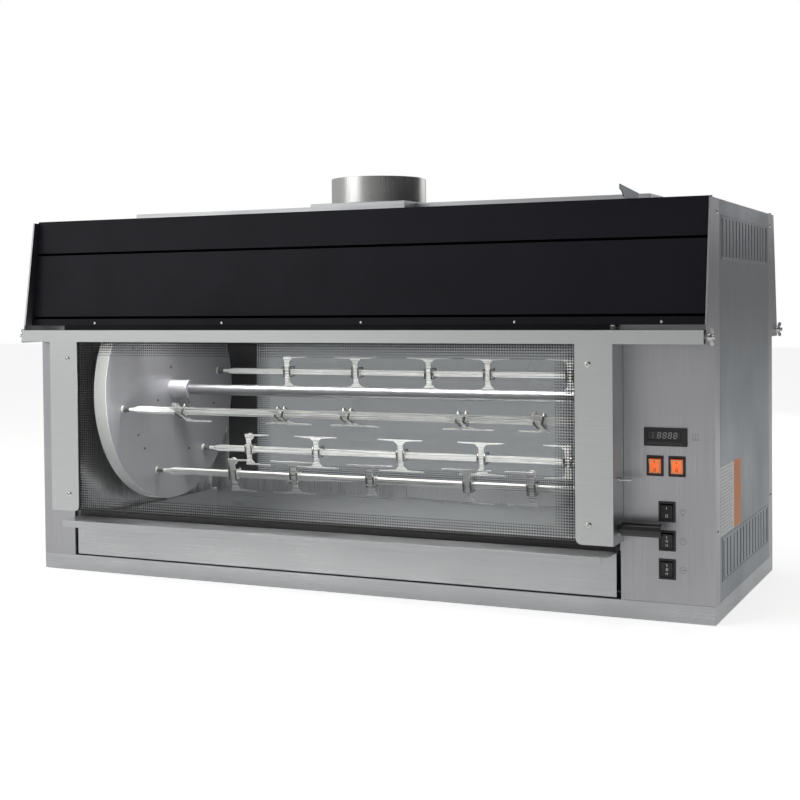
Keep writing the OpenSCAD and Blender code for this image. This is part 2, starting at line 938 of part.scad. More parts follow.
// a rocker with two shallow slopes; it swings about X at the well's mouth
module rocker(i) {
    h = well_h / 2 - rocker_gap - 0.6;
    w = well_w / 2 - rocker_gap;
    translate([switch_at[i][0], -yf, switch_at[i][1]])
        rotate([-switch_rest[i], 0, 0])
            along_x(-w, w)
                polygon([
                    [-bezel_t - 2.5, -h],
                    [-bezel_t - 0.6, -2],
                    [-bezel_t - 0.6, 2],
                    [-bezel_t - 2.5, h],
                    [3, h - 1],
                    [8, 4],
                    [8, -4],
                    [3, -h + 1]
                ]);
}

module temperature_probe() {
    color("gainsboro") {
        rod_x(cx1 - 60, cx1 + 30, probe_y, probe_z, probe_r);
        rod_x(cx1 - 4, cx1, probe_y, probe_z, probe_r + 4);
    }
}

module terminal_block() {
    z0 = plinth_h + sheet;
    color("dimgray") {
        block([cx1 + 24, -60, z0], [cx1 + 74, 40, z0 + 34]);
        for (i = [0 : 5])
            block([cx1 + 28, -54 + i * 15, z0 + 34], [cx1 + 70, -44 + i * 15, z0 + 44]);
    }
}

module cable_gland() {
    color("#202022")
        difference() {
            union() {
                rod_y(gland_x, yf, yf + 16, gland_z, gland_bore + 7);
                rod_y(gland_x, yf - 12, yf, gland_z, gland_bore + 4);
            }
            rod_y(gland_x, yf - 13, yf + 17, gland_z, gland_bore);
        }
}

// ---- doors, drawn at the back ----

// a bolt in each wing that the rail turns on, with its wing nut outside
module door_pivot() {
    x1 = body_w / 2;
    rod_x(rail_x - pivot_deep + 4, x1 + pivot_out, pivot_y, pivot_z, pivot_r);
    difference() {
        union() {
            rod_x(x1, x1 + 6, pivot_y, pivot_z, pivot_r + 3);
            block([x1 + 1, pivot_y - 1.5, pivot_z - 15], [x1 + 11, pivot_y + 1.5, pivot_z + 15]);
        }
        rod_x(x1 - 1, x1 + pivot_out + 1, pivot_y, pivot_z, pivot_r);
    }
}

module door_pivots() {
    color("silver")
        both_ends()
            front_and_rear()
                door_pivot();
}

module door_rail() {
    y0 = pivot_y - rail / 2;
    y1 = pivot_y + rail / 2;
    difference() {
        block([-rail_x, y0, rail_z], [rail_x, y1, rail_z + rail]);
        // channel for the glass, open below and behind
        block([-rail_x + 30, y0 - 1, rail_z + sheet], [rail_x - 30, y1 - sheet, rail_z + rail - sheet]);
        block([stile_x0 + 2, glass_y - 1, rail_z - 1], [stile_x1 - 2, y1 - sheet, rail_z + sheet + 1]);
        for (s = [-1, 1])
            rod_x(s * rail_x - pivot_deep, s * rail_x + pivot_deep, pivot_y, pivot_z, pivot_r + run);
    }
}

// a stile: a face sheet and a side fold, with a rounded inner lower corner
module door_stile(x0, x1, fold_x) {
    r = 12;
    inner = fold_x == x0 ? x1 - r : x0 + r;
    difference() {
        block([x0, stile_y - sheet, door_z], [x1, stile_y, rail_z]);
        difference() {
            block([min(inner, fold_x == x0 ? x1 : x0), stile_y - sheet - 1, door_z - 1],
                  [max(inner, fold_x == x0 ? x1 : x0), stile_y + 1, door_z + r]);
            rod_y(inner, stile_y - sheet - 2, stile_y + 2, door_z + r, r);
        }
    }
    block([fold_x == x0 ? x0 : x1 - sheet, door_back, door_z],
          [fold_x == x0 ? x0 + sheet : x1, stile_y, rail_z - gap]);
}

module door_frame() {
    color("silver") {
        door_rail();
        door_stile(stile_x0, stile_x0 + stile_w, stile_x0);
        door_stile(stile_x1 - stile_w, stile_x1, stile_x1);
    }
}

module door_glass() {
    color("lightblue", 0.35)
        block([stile_x0 + glass_over, glass_y, door_z + 1],
              [stile_x1 - glass_over, glass_y + glass_t, rail_z + rail - sheet - 4]);
}

module door_handle() {
    color("#151515") {
        rod_x(stile_x1, stile_x1 + 6, pin_y, handle_z, handle_r - 4);
        rod_x(stile_x1 + 6, stile_x1 + 6 + handle_len, pin_y, handle_z, handle_r);
    }
}

module door_fasteners() {
    color("gainsboro") {
        for (x = [stile_x0 + stile_w - screw_in, stile_x1 - stile_w + screw_in])
            for (z = [door_z + screw_dz, rail_z - screw_dz])
                rod_y(x, stile_y, stile_y + 2.5, z, screw_r);
        rod_x(stile_x1, stile_x1 + pin_len, pin_y, pin_z, pin_r);
        difference() {
            rod_x(stile_x1, stile_x1 + 5, pin_y, pin_z, pin_r + 2.5);
            rod_x(stile_x1 - 1, stile_x1 + 6, pin_y, pin_z, pin_r);
        }
    }
}

base_plinth();
left_cabinet();
right_cabinet();
side_panels();
left_inner_wall();
right_inner_wall();
ceiling_plate();
hood_roof();
hood_panels();
wings();
roof_duct();
flue_box();
flue_collar();
panel_screws();
catch_brackets();
rear_lower_panel();
gear_motor();
sun_gear();
shaft_bearings();
burners();
burner_tiles();
gas_manifold();
gas_valves();
lamp();
controller();
switch_bezels();
door_pivots();
temperature_probe();
terminal_block();
cable_gland();
rotor_shaft();
left_disc();
right_disc();
spit(0);  // spit_1
spit(1);  // spit_2
spit(2);  // spit_3
spit(3);  // spit_4
spit(4);  // spit_5
spit(5);  // spit_6
forks(0);  // forks_1
forks(1);  // forks_2
forks(2);  // forks_3
forks(3);  // forks_4
forks(4);  // forks_5
forks(5);  // forks_6
color("orangered") rocker(0);  // rocker_burner_front
color("orangered") rocker(1);  // rocker_burner_rear
color("#151515") rocker(2);  // rocker_lamp
color("#151515") rocker(3);  // rocker_ignition
color("#151515") rocker(4);  // rocker_rotor
drip_drawer();
at_front() door_frame();  // front_door_frame
at_front() door_glass();  // front_door_glass
at_front() door_handle();  // front_door_handle
at_front() door_fasteners();  // front_door_fasteners
door_frame();  // rear_door_frame
door_glass();  // rear_door_glass
door_handle();  // rear_door_handle
door_fasteners();  // rear_door_fasteners
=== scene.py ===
# %% [markdown]
# # A pass-through gas rotisserie
# The CAD model gives every place, size and motion. This lesson gives the oven its looks: brushed
# steel, black enamel, glass with a printed border, polished spits and lit switches. Each step says
# what the piece is on the real oven, how it could be made, and why it is made this way.

# %% Load the frame
import json
import math
import random

import bmesh
import bpy
from mathutils import Matrix, Vector
from mathutils.bvhtree import BVHTree

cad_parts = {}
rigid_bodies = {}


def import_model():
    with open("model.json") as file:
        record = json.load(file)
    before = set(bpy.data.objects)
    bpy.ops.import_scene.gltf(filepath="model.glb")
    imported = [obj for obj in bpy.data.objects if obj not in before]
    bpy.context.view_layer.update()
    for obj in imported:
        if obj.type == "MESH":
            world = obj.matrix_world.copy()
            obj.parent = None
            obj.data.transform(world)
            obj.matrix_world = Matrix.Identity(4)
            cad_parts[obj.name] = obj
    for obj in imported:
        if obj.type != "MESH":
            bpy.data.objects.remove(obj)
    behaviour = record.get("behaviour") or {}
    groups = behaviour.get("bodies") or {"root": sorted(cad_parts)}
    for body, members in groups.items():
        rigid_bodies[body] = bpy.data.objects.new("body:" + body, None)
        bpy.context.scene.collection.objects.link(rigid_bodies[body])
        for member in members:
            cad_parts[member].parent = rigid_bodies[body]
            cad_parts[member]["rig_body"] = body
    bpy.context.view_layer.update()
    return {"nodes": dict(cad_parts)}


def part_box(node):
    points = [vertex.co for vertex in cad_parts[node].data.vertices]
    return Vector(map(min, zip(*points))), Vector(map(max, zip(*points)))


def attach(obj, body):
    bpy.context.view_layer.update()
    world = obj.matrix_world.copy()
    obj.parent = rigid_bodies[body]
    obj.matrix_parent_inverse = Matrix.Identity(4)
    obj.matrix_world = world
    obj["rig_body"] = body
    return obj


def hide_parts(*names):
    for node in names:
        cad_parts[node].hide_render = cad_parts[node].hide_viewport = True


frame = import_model()
scene = bpy.context.scene
nodes = frame["nodes"]
MM = 0.001
HAND = {-1: "left", 1: "right"}

# %% [markdown]
# ## The camera
# The camera stands to the right of the oven and a little above its middle, so the front and the
# control side both show. A small shift keeps the oven's uprights straight, as a view camera does.

# %% Camera
CAMERA_AT = Vector((1.242, -2.624, 0.562))
YAW, PITCH, ROLL = math.radians(24.11), math.radians(1.396), math.radians(0.512)
ahead = Vector((-math.sin(YAW) * math.cos(PITCH), math.cos(YAW) * math.cos(PITCH), -math.sin(PITCH)))
level = Vector((math.cos(YAW), math.sin(YAW), 0))
down = ahead.cross(level)
right = level * math.cos(ROLL) + down * math.sin(ROLL)
under = down * math.cos(ROLL) - level * math.sin(ROLL)
lens = bpy.data.cameras.new("camera")
lens.sensor_width, lens.lens = 36, 61.8
lens.shift_x, lens.shift_y = -0.0375, -0.0789
lens.clip_start, lens.clip_end = 0.05, 60
camera = bpy.data.objects.new("camera", lens)
camera.matrix_world = Matrix.Translation(CAMERA_AT) @ Matrix((right, -under, -ahead)).transposed().to_4x4()
scene.collection.objects.link(camera)
scene.camera = camera
print("camera at", tuple(round(v, 3) for v in CAMERA_AT))

# %% [markdown]
# ## The studio
# A pale floor runs to a white backdrop. Steel shows what it mirrors, so the light is what makes it
# look right. The floor glows more for the camera than for the steel, so it looks white and the steel
# doesn't wash out.

# %% Paper floor
def mesh_object(name, verts, faces, material=None):
    """A new mesh object at the origin, with its place in its vertices."""
    mesh = bpy.data.meshes.new(name)
    mesh.from_pydata([tuple(v) for v in verts], [], faces)
    mesh.update()
    ob = bpy.data.objects.new(name, mesh)
    scene.collection.objects.link(ob)
    if material:
        mesh.materials.append(material)
    return ob


def join(tree, source, target):
    """Links an output socket to an input socket."""
    tree.links.new(source, target)


def seen_by_camera(tree):
    """A value that is 1 for what the camera sees directly, and 0 for what mirrors and lights see."""
    return tree.nodes.new("ShaderNodeLightPath").outputs["Is Camera Ray"]


FLOOR_REACH = 14
paper = bpy.data.materials.new("paper")
paper.use_nodes = True
paper_look = paper.node_tree.nodes["Principled BSDF"]
paper_look.inputs["Base Color"].default_value = (0.92, 0.92, 0.91, 1)
paper_look.inputs["Roughness"].default_value = 0.9
paper_look.inputs["Emission Color"].default_value = (1, 1, 1, 1)
floor_glow = paper.node_tree.nodes.new("ShaderNodeMapRange")
floor_glow.inputs["To Min"].default_value, floor_glow.inputs["To Max"].default_value = 0.34, 0.72
join(paper.node_tree, seen_by_camera(paper.node_tree), floor_glow.inputs["Value"])
join(paper.node_tree, floor_glow.outputs[0], paper_look.inputs["Emission Strength"])
corners = [(FLOOR_REACH * x, FLOOR_REACH * y, 0) for x, y in ((-1, -1), (1, -1), (1, 1), (-1, 1))]
mesh_object("floor", corners, [(0, 1, 2, 3)], paper)
print("floor", 2 * FLOOR_REACH, "m wide")

# %% [markdown]
# Three broad soft boxes give the steel large things to mirror: the key at the front left, a weaker
# one above and one behind. A small lamp under the ceiling plate lights the spits, and its narrow
# spread keeps it off the door rail. A tall, weak one behind the glass brings out the disc's rim.

# %% Soft lights
def soft_box(name, place, aim, size, power, colour=(1, 1, 1)):
    """A rectangular soft light at place that points at aim."""
    lamp = bpy.data.lights.new(name, "AREA")
    lamp.shape, lamp.size, lamp.size_y = "RECTANGLE", size[0], size[1]
    lamp.energy, lamp.color = power, colour
    ob = bpy.data.objects.new(name, lamp)
    ob.matrix_world = Matrix.Translation(place) @ (
        Vector(aim) - Vector(place)).to_track_quat("-Z", "Y").to_matrix().to_4x4()
    scene.collection.objects.link(ob)
    return ob


soft_box("key_light", (-2.3, -2.7, 1.7), (-0.3, 0, 0.35), (2.4, 2.0), 20)
soft_box("top_light", (0.2, -0.6, 3.2), (0, 0, 0.4), (3.0, 2.0), 13)
soft_box("rear_light", (1.0, 3.6, 1.8), (0, 0, 0.4), (2.4, 1.8), 12)
cavity_light = soft_box("cavity_light", (-0.06, -0.1, 0.63), (-0.06, -0.02, 0.2), (1.0, 0.08), 6,
                        (1, 0.99, 0.98))
cavity_light.data.spread = math.radians(100)
rim_light = soft_box("rim_light", (-0.46, -0.295, 0.39), (-0.56, -0.248, 0.37), (0.03, 0.26), 0.55)
for lamp_inside in (cavity_light, rim_light):
    lamp_inside.visible_camera = False
print("5 soft lights")

# %% [markdown]
# The room is white for the camera. For everything else it is bright on the left and dim on the
# right, which lets the control side fall darker than the front.

# %% The room
scene.view_settings.view_transform = "Standard"
world = bpy.data.worlds.new("room")
scene.world = world
world.use_nodes = True
sky = world.node_tree
sky.nodes.clear()
direction = sky.nodes.new("ShaderNodeTexCoord")
split = sky.nodes.new("ShaderNodeSeparateXYZ")
dim = sky.nodes.new("ShaderNodeMapRange")
dim.inputs["From Min"].default_value, dim.inputs["From Max"].default_value = 0.75, -0.8
dim.inputs["To Min"].default_value, dim.inputs["To Max"].default_value = 0.02, 0.42
room_light = sky.nodes.new("ShaderNodeBackground")
backdrop = sky.nodes.new("ShaderNodeBackground")
backdrop.inputs["Strength"].default_value = 1.0
mixed = sky.nodes.new("ShaderNodeMixShader")
end = sky.nodes.new("ShaderNodeOutputWorld")
join(sky, direction.outputs["Generated"], split.inputs[0])
join(sky, split.outputs["X"], dim.inputs["Value"])
join(sky, dim.outputs[0], room_light.inputs["Strength"])
join(sky, seen_by_camera(sky), mixed.inputs[0])
join(sky, room_light.outputs[0], mixed.inputs[1])
join(sky, backdrop.outputs[0], mixed.inputs[2])
join(sky, mixed.outputs[0], end.inputs[0])
for white in (room_light, backdrop):
    white.inputs["Color"].default_value = (1, 1, 1, 1)
print("room dims from left to right")

# %% [markdown]
# ## Finishes
# Brushed sheet steel has streaks that are long one way and very fine the other way. Stretched noise
# on Object coordinates gives them, in roughness and in a slight bump. Slow clouds in the colour and
# the roughness stand for handling marks. All the steels come from one recipe with other numbers.

# %% Nodes that the finishes share
def start_finish(name):
    """A material with its tree and its Principled shader."""
    mat = bpy.data.materials.new(name)
    mat.use_nodes = True
    return mat, mat.node_tree, mat.node_tree.nodes["Principled BSDF"]


def coordinates(tree, scale, turn=(0, 0, 0)):
    """Object coordinates through a Mapping node."""
    coord = tree.nodes.new("ShaderNodeTexCoord")
    mapping = tree.nodes.new("ShaderNodeMapping")
    mapping.inputs["Scale"].default_value = scale
    mapping.inputs["Rotation"].default_value = turn
    join(tree, coord.outputs["Object"], mapping.inputs["Vector"])
    return mapping.outputs["Vector"]


def noise(tree, vector, scale, detail):
    """Fractal noise, from 0 to 1."""
    n = tree.nodes.new("ShaderNodeTexNoise")
    n.inputs["Scale"].default_value, n.inputs["Detail"].default_value = scale, detail
    join(tree, vector, n.inputs["Vector"])
    return n.outputs["Fac"]


def between(tree, value, low, high, first=0.3, last=0.7):
    """Stretches a noise value to run from low to high."""
    m = tree.nodes.new("ShaderNodeMapRange")
    for key, v in (("From Min", first), ("From Max", last), ("To Min", low), ("To Max", high)):
        m.inputs[key].default_value = v
    join(tree, value, m.inputs["Value"])
    return m.outputs[0]


def tinted(tree, factor, colour, light, dark):
    """A colour that goes with factor from light times its value to dark times its value."""
    mix = tree.nodes.new("ShaderNodeMix")
    mix.data_type = "RGBA"
    join(tree, factor, mix.inputs["Factor"])
    mix.inputs[6].default_value = (*[min(1, c * light) for c in colour], 1)
    mix.inputs[7].default_value = (*[c * dark for c in colour], 1)
    return mix.outputs[2]


def bumped(tree, bsdf, height, strength, distance):
    """Gives a shader a fine relief from a height value."""
    b = tree.nodes.new("ShaderNodeBump")
    b.inputs["Strength"].default_value, b.inputs["Distance"].default_value = strength, distance
    join(tree, height, b.inputs["Height"])
    join(tree, b.outputs["Normal"], bsdf.inputs["Normal"])


print("noise, ranges, tints and bumps ready")

# %% [markdown]
# Steel needs the streaks and the clouds. Paint, enamel, plastic and ceramic have no direction, so a
# second recipe gives them a fine skin over one colour, with slow clouds.

# %% Recipes for steel and for moulded skins
# The scale of the streaks on each axis is low along the brushing and high across it.
GRAINS = {"x": (5, 700, 700), "z": (700, 700, 5), "none": (90, 90, 90)}


def steel(name, colour, rough=0.34, grain="x", clouds=0.1, metal=1.0, streak=0.07, bump=0.12):
    """Sheet steel with its brushing along one axis."""
    mat, tree, bsdf = start_finish(name)
    streaks = noise(tree, coordinates(tree, GRAINS[grain]), 1.0, 2)
    smudges = noise(tree, coordinates(tree, (1, 1, 1)), 4.5, 5)
    joined = tree.nodes.new("ShaderNodeMath")
    joined.operation = "ADD"
    join(tree, between(tree, streaks, -streak, streak), joined.inputs[0])
    join(tree, between(tree, smudges, rough - clouds * 0.6, rough + clouds * 0.6), joined.inputs[1])
    join(tree, joined.outputs[0], bsdf.inputs["Roughness"])
    shade = tree.nodes.new("ShaderNodeMath")
    shade.operation = "MULTIPLY_ADD"
    shade.inputs[1].default_value = 0.5
    join(tree, between(tree, streaks, 0, 1), shade.inputs[0])
    join(tree, between(tree, smudges, 0, 0.5), shade.inputs[2])
    join(tree, tinted(tree, shade.outputs[0], colour, 1 + clouds, 1 - clouds), bsdf.inputs["Base Color"])
    bsdf.inputs["Metallic"].default_value = metal
    bumped(tree, bsdf, streaks, bump, 0.00015)
    return mat


def moulded(name, colour, rough, scale, bump, light=1.25, dark=0.8, coat=0.0, shine=0.5):
    """Paint, enamel, plastic or ceramic: a fine skin over one colour, with slow clouds."""
    mat, tree, bsdf = start_finish(name)
    skin = noise(tree, coordinates(tree, (1, 1, 1)), scale, 2)
    clouds = noise(tree, coordinates(tree, (1, 1, 1)), 7, 4)
    join(tree, tinted(tree, between(tree, clouds, 0, 1), colour, light, dark), bsdf.inputs["Base Color"])
    join(tree, between(tree, clouds, rough * 0.88, rough * 1.12), bsdf.inputs["Roughness"])
    bsdf.inputs["Coat Weight"].default_value = coat
    bsdf.inputs["Specular IOR Level"].default_value = shine
    bumped(tree, bsdf, skin, bump, 0.00012)
    return mat


print("grains along", ", ".join(GRAINS))

# %% [markdown]
# Each finish is one line: its colour, its roughness, and the axis that its brushing follows. The
# front and the sides are brushed upright, the rails and the plinth along their length. The enamel
# shines little, because it is a stoved paint that dulls with grease and heat.

# %% The finishes
finish = {
    "front_steel": steel("front_steel", (0.50, 0.50, 0.52), 0.36, "z", 0.08),
    "plinth_steel": steel("plinth_steel", (0.56, 0.57, 0.58), 0.33, "x", 0.08),
    # The side copy is darker and bluer than the front steel: painted shade for the sides, which face away
    # from the key light.
    "side_steel": steel("side_steel", (0.36, 0.385, 0.41), 0.40, "z", 0.08),
    "roof_steel": steel("roof_steel", (0.62, 0.63, 0.64), 0.38, "x", 0.08),
    "inner_steel": steel("inner_steel", (0.60, 0.60, 0.62), 0.30, "z", 0.14),
    # The door copy is lighter than the front steel: painted light for the stiles and rail, which face the
    # key light.
    "door_steel": steel("door_steel", (0.66, 0.68, 0.67), 0.38, "x", 0.05),
    "flue_steel": steel("flue_steel", (0.80, 0.80, 0.79), 0.28, "z", 0.10),
    "fasteners": steel("fasteners", (0.72, 0.72, 0.71), 0.22, "none", 0.10),
    "rotor_steel": steel("rotor_steel", (0.47, 0.47, 0.49), 0.58, "z", 0.05),
    "bright_steel": steel("bright_steel", (0.96, 0.96, 0.95), 0.28, "x", 0.04, 0.6, 0.03, 0.01),
    "shaft_steel": steel("shaft_steel", (0.24, 0.24, 0.25), 0.45, "x", 0.08),
    # The rim's copy is painted sheen: a pale, half-diffuse steel for the light that the discs' rims mirror.
    "rim_sheen_steel": steel("rim_sheen_steel", (0.95, 0.95, 0.94), 0.40, "x", 0.04, 0.35),
    "burner_steel": steel("burner_steel", (0.50, 0.48, 0.45), 0.40, "x", 0.2),
    "gear_steel": steel("gear_steel", (0.38, 0.38, 0.37), 0.35, "none", 0.15),
    "bearing_bronze": steel("bearing_bronze", (0.60, 0.44, 0.22), 0.40, "none", 0.15),
    "gas_brass": steel("gas_brass", (0.74, 0.58, 0.28), 0.30, "none", 0.12),
    "cast_housing": moulded("cast_housing", (0.17, 0.17, 0.18), 0.6, 700, 0.6),
    "black_enamel": moulded("black_enamel", (0.016, 0.016, 0.022), 0.42, 1100, 0.08, 1.1, 0.9, shine=0.12),
    "black_plastic": moulded("black_plastic", (0.022, 0.022, 0.024), 0.42, 2500, 0.25),
    "handle_black": moulded("handle_black", (0.010, 0.010, 0.011), 0.16, 900, 0.03, coat=0.4),
    "ceramic": moulded("ceramic", (0.80, 0.72, 0.60), 0.85, 500, 0.8, 1.08, 0.82),
}
print(len(finish), "finishes from two recipes")

# %% [markdown]
# ## Glass and lit plastic
# The front door is clear tempered glass with a slight grey cast. The rear pane is tinted a much darker
# grey, painted shade that dims the bright floor and backdrop seen through the cavity. Light passes
# straight through a flat pane, so a Transparent shader with a mirror over it by Fresnel is right here,
# and lamps reach the cavity. Only the side where light enters mirrors, or steep views would meet a
# total reflection. The lit switches are translucent amber plastic with a lamp behind, so they glow a little.

# %% Glass, lamp glass and amber
def pane(name, tint, mirror_rough=0.02, ior=1.5):
    """Clear glass with a tint and a mirror on the side where light enters it."""
    mat = bpy.data.materials.new(name)
    mat.use_nodes = True
    tree = mat.node_tree
    tree.nodes.clear()
    clear = tree.nodes.new("ShaderNodeBsdfTransparent")
    clear.inputs["Color"].default_value = (*tint, 1)
    mirror = tree.nodes.new("ShaderNodeBsdfGlossy")
    mirror.inputs["Roughness"].default_value = mirror_rough
    fresnel = tree.nodes.new("ShaderNodeFresnel")
    fresnel.inputs["IOR"].default_value = ior
    mix = tree.nodes.new("ShaderNodeMixShader")
    out = tree.nodes.new("ShaderNodeOutputMaterial")
    side = tree.nodes.new("ShaderNodeNewGeometry")
    entering = tree.nodes.new("ShaderNodeMath")
    entering.operation = "SUBTRACT"
    entering.inputs[0].default_value = 1.0
    share = tree.nodes.new("ShaderNodeMath")
    share.operation = "MULTIPLY"
    join(tree, side.outputs["Backfacing"], entering.inputs[1])
    join(tree, fresnel.outputs[0], share.inputs[0])
    join(tree, entering.outputs[0], share.inputs[1])
    join(tree, share.outputs[0], mix.inputs[0])
    join(tree, clear.outputs[0], mix.inputs[1])
    join(tree, mirror.outputs[0], mix.inputs[2])
    join(tree, mix.outputs[0], out.inputs[0])
    return mat


finish["door_glass"] = pane("door_glass", (0.93, 0.935, 0.93), ior=1.35)
# The rear pane's dark grey tint is painted shade: it dims the bright floor and backdrop seen through the
# cavity.
finish["rear_glass"] = pane("rear_glass", (0.52, 0.53, 0.54))
finish["lamp_glass"] = pane("lamp_glass", (0.95, 0.95, 0.92), 0.15)

amber, amber_tree, amber_look = start_finish("lit_amber")
haze = noise(amber_tree, coordinates(amber_tree, (1, 1, 1)), 160, 2)
join(amber_tree, tinted(amber_tree, between(amber_tree, haze, 0, 1), (0.95, 0.20, 0.045), 1.05, 0.8),
     amber_look.inputs["Base Color"])
amber_look.inputs["Emission Color"].default_value = (1.0, 0.16, 0.03, 1)
amber_look.inputs["Emission Strength"].default_value = 0.55
amber_look.inputs["Roughness"].default_value = 0.22
bumped(amber_tree, amber_look, haze, 0.08, 0.0002)
finish["lit_amber"] = amber
print("glass and amber made")

# %% [markdown]
# ## Sheet edges
# Folded and cut sheet never has a perfectly sharp edge, and the thin bright line along it is what
# tells the eye that it is metal. A CAD mesh is loose triangles, so each shown node gets a copy with
# its doubles merged and its flat faces joined, and a small Bevel modifier rounds the copy's edges.

# %% Copies with rounded edges
SOFT_EDGE = math.radians(35)
FLAT = math.radians(0.4)


def round_edges(ob, radius, clamp):
    """A small Bevel modifier on the sharp edges, with its radius in millimetres."""
    bevel = ob.modifiers.new("edge", "BEVEL")
    bevel.width, bevel.segments = radius * MM, 2
    bevel.limit_method, bevel.angle_limit = "ANGLE", SOFT_EDGE
    bevel.use_clamp_overlap = clamp
    bevel.harden_normals = True


def rounded_copy(node, look, edge, soft=SOFT_EDGE):
    """A copy of a CAD node with merged doubles, rounded edges and a finish, that stands for it."""
    source = nodes[node]
    mesh = bpy.data.meshes.new(node + "_skin")
    bm = bmesh.new()
    bm.from_mesh(source.data)
    bmesh.ops.remove_doubles(bm, verts=bm.verts, dist=1e-5)
    bmesh.ops.dissolve_limit(bm, angle_limit=FLAT, verts=bm.verts, edges=bm.edges)
    bm.to_mesh(mesh)
    bm.free()
    old = mesh.attributes.get("custom_normal")
    if old:
        mesh.attributes.remove(old)
    ob = bpy.data.objects.new(node + "_skin", mesh)
    scene.collection.objects.link(ob)
    mesh.materials.append(finish[look])
    for face in mesh.polygons:
        face.use_smooth, face.material_index = True, 0
    mesh.set_sharp_from_angle(angle=soft)
    if edge:
        round_edges(ob, edge, clamp=False)
    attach(ob, source["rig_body"])
    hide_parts(node)
    return ob


print("edges sharper than", round(math.degrees(SOFT_EDGE)), "degrees get rounded")

# %% [markdown]
# Each node has its finish and its edge radius in millimetres. Thick castings have large radii and
# thin sheet small ones. The spits and forks are thin bars with many edges, so they get no bevel, and
# a lower angle for what counts as sharp keeps their flats crisp.

# %% A finish for each node
BAR_EDGE = math.radians(12)
LOOKS = {
    "base_plinth": ("plinth_steel", 0.7), "left_cabinet": ("front_steel", 0.6),
    "right_cabinet": ("front_steel", 0.6), "side_panels": ("side_steel", 0.4),
    "left_inner_wall": ("inner_steel", 0.4), "right_inner_wall": ("inner_steel", 0.4),
    "ceiling_plate": ("inner_steel", 0.4), "hood_roof": ("roof_steel", 0.4),
    "hood_panels": ("black_enamel", 0.5), "wings": ("front_steel", 0.4),
    "roof_duct": ("roof_steel", 0.6), "flue_box": ("roof_steel", 0.6),
    "flue_collar": ("flue_steel", 0.4), "panel_screws": ("fasteners", 0.5),
    "catch_brackets": ("side_steel", 0.4), "rear_lower_panel": ("plinth_steel", 0.5),
    "drip_drawer": ("plinth_steel", 0.5), "gear_motor": ("cast_housing", 1.5),
    "sun_gear": ("gear_steel", 0), "shaft_bearings": ("bearing_bronze", 0.4),
    "burners": ("burner_steel", 0.6), "burner_tiles": ("ceramic", 0.6),
    "gas_manifold": ("gas_brass", 0.4), "gas_valves": ("gas_brass", 0.8),
    "lamp": ("lamp_glass", 0.8), "controller": ("black_plastic", 1.0),
    "switch_bezels": ("black_plastic", 0.6), "door_pivots": ("fasteners", 0.3),
    "temperature_probe": ("bright_steel", 0.3), "terminal_block": ("black_plastic", 0.8),
    "cable_gland": ("black_plastic", 0.5), "rotor_shaft": ("shaft_steel", 0.6),
    "left_disc": ("rotor_steel", 0.8), "right_disc": ("rotor_steel", 0.8),
    "rocker_burner_front": ("lit_amber", 0.7), "rocker_burner_rear": ("lit_amber", 0.7),
    "rocker_lamp": ("black_plastic", 0.7), "rocker_ignition": ("black_plastic", 0.7),
    "rocker_rotor": ("black_plastic", 0.7),
    "front_door_frame": ("door_steel", 0.5), "rear_door_frame": ("door_steel", 0.5),
    "front_door_glass": ("door_glass", 0.5), "rear_door_glass": ("rear_glass", 0.5),
    "front_door_handle": ("handle_black", 1.2), "rear_door_handle": ("handle_black", 1.2),
    "front_door_fasteners": ("fasteners", 0.6), "rear_door_fasteners": ("fasteners", 0.6),
}
for k in range(1, 7):
    LOOKS[f"spit_{k}"] = ("bright_steel", 0, BAR_EDGE)
    LOOKS[f"forks_{k}"] = ("bright_steel", 0, BAR_EDGE)
skins = {node: rounded_copy(node, *look) for node, look in LOOKS.items()}
print(len(skins), "rounded copies of", len(nodes), "nodes")

# %% [markdown]
# ## A second finish on the discs
# A disc's rim gets a brighter, less metallic copy of the disc's steel: a painted sheen that stands for
# the light the rim mirrors. It is the same piece, so the rim's faces only get a second finish, chosen
# by how far each face lies from the shaft.

# %% Painted sheen on the rims
def second_finish(ob, look, wanted):
    """Gives a second finish to the faces of a piece for which wanted(face) is true."""
    ob.data.materials.append(finish[look])
    chosen = [face for face in ob.data.polygons if wanted(face)]
    for face in chosen:
        face.material_index = len(ob.data.materials) - 1
    print(ob.name, len(chosen), "faces of", look)


def middle_of(node):
    """The middle of a CAD node's box."""
    lowest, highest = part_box(node)
    return (lowest + highest) / 2


HUB_Z = middle_of("rotor_shaft").z
RIM_RADIUS = 244 * MM
for side in ("left", "right"):
    second_finish(skins[f"{side}_disc"], "rim_sheen_steel",
                  lambda face: math.hypot(face.center.y, face.center.z - HUB_Z) > RIM_RADIUS)

# %% [markdown]
# ## Geometry Nodes from a script
# What repeats by a rule, such as dots, louvres and clips, is made by Geometry Nodes. A small class
# keeps the building of a tree readable, and a function runs a tree with its values and keeps the
# result as a plain mesh that can ride on a body.

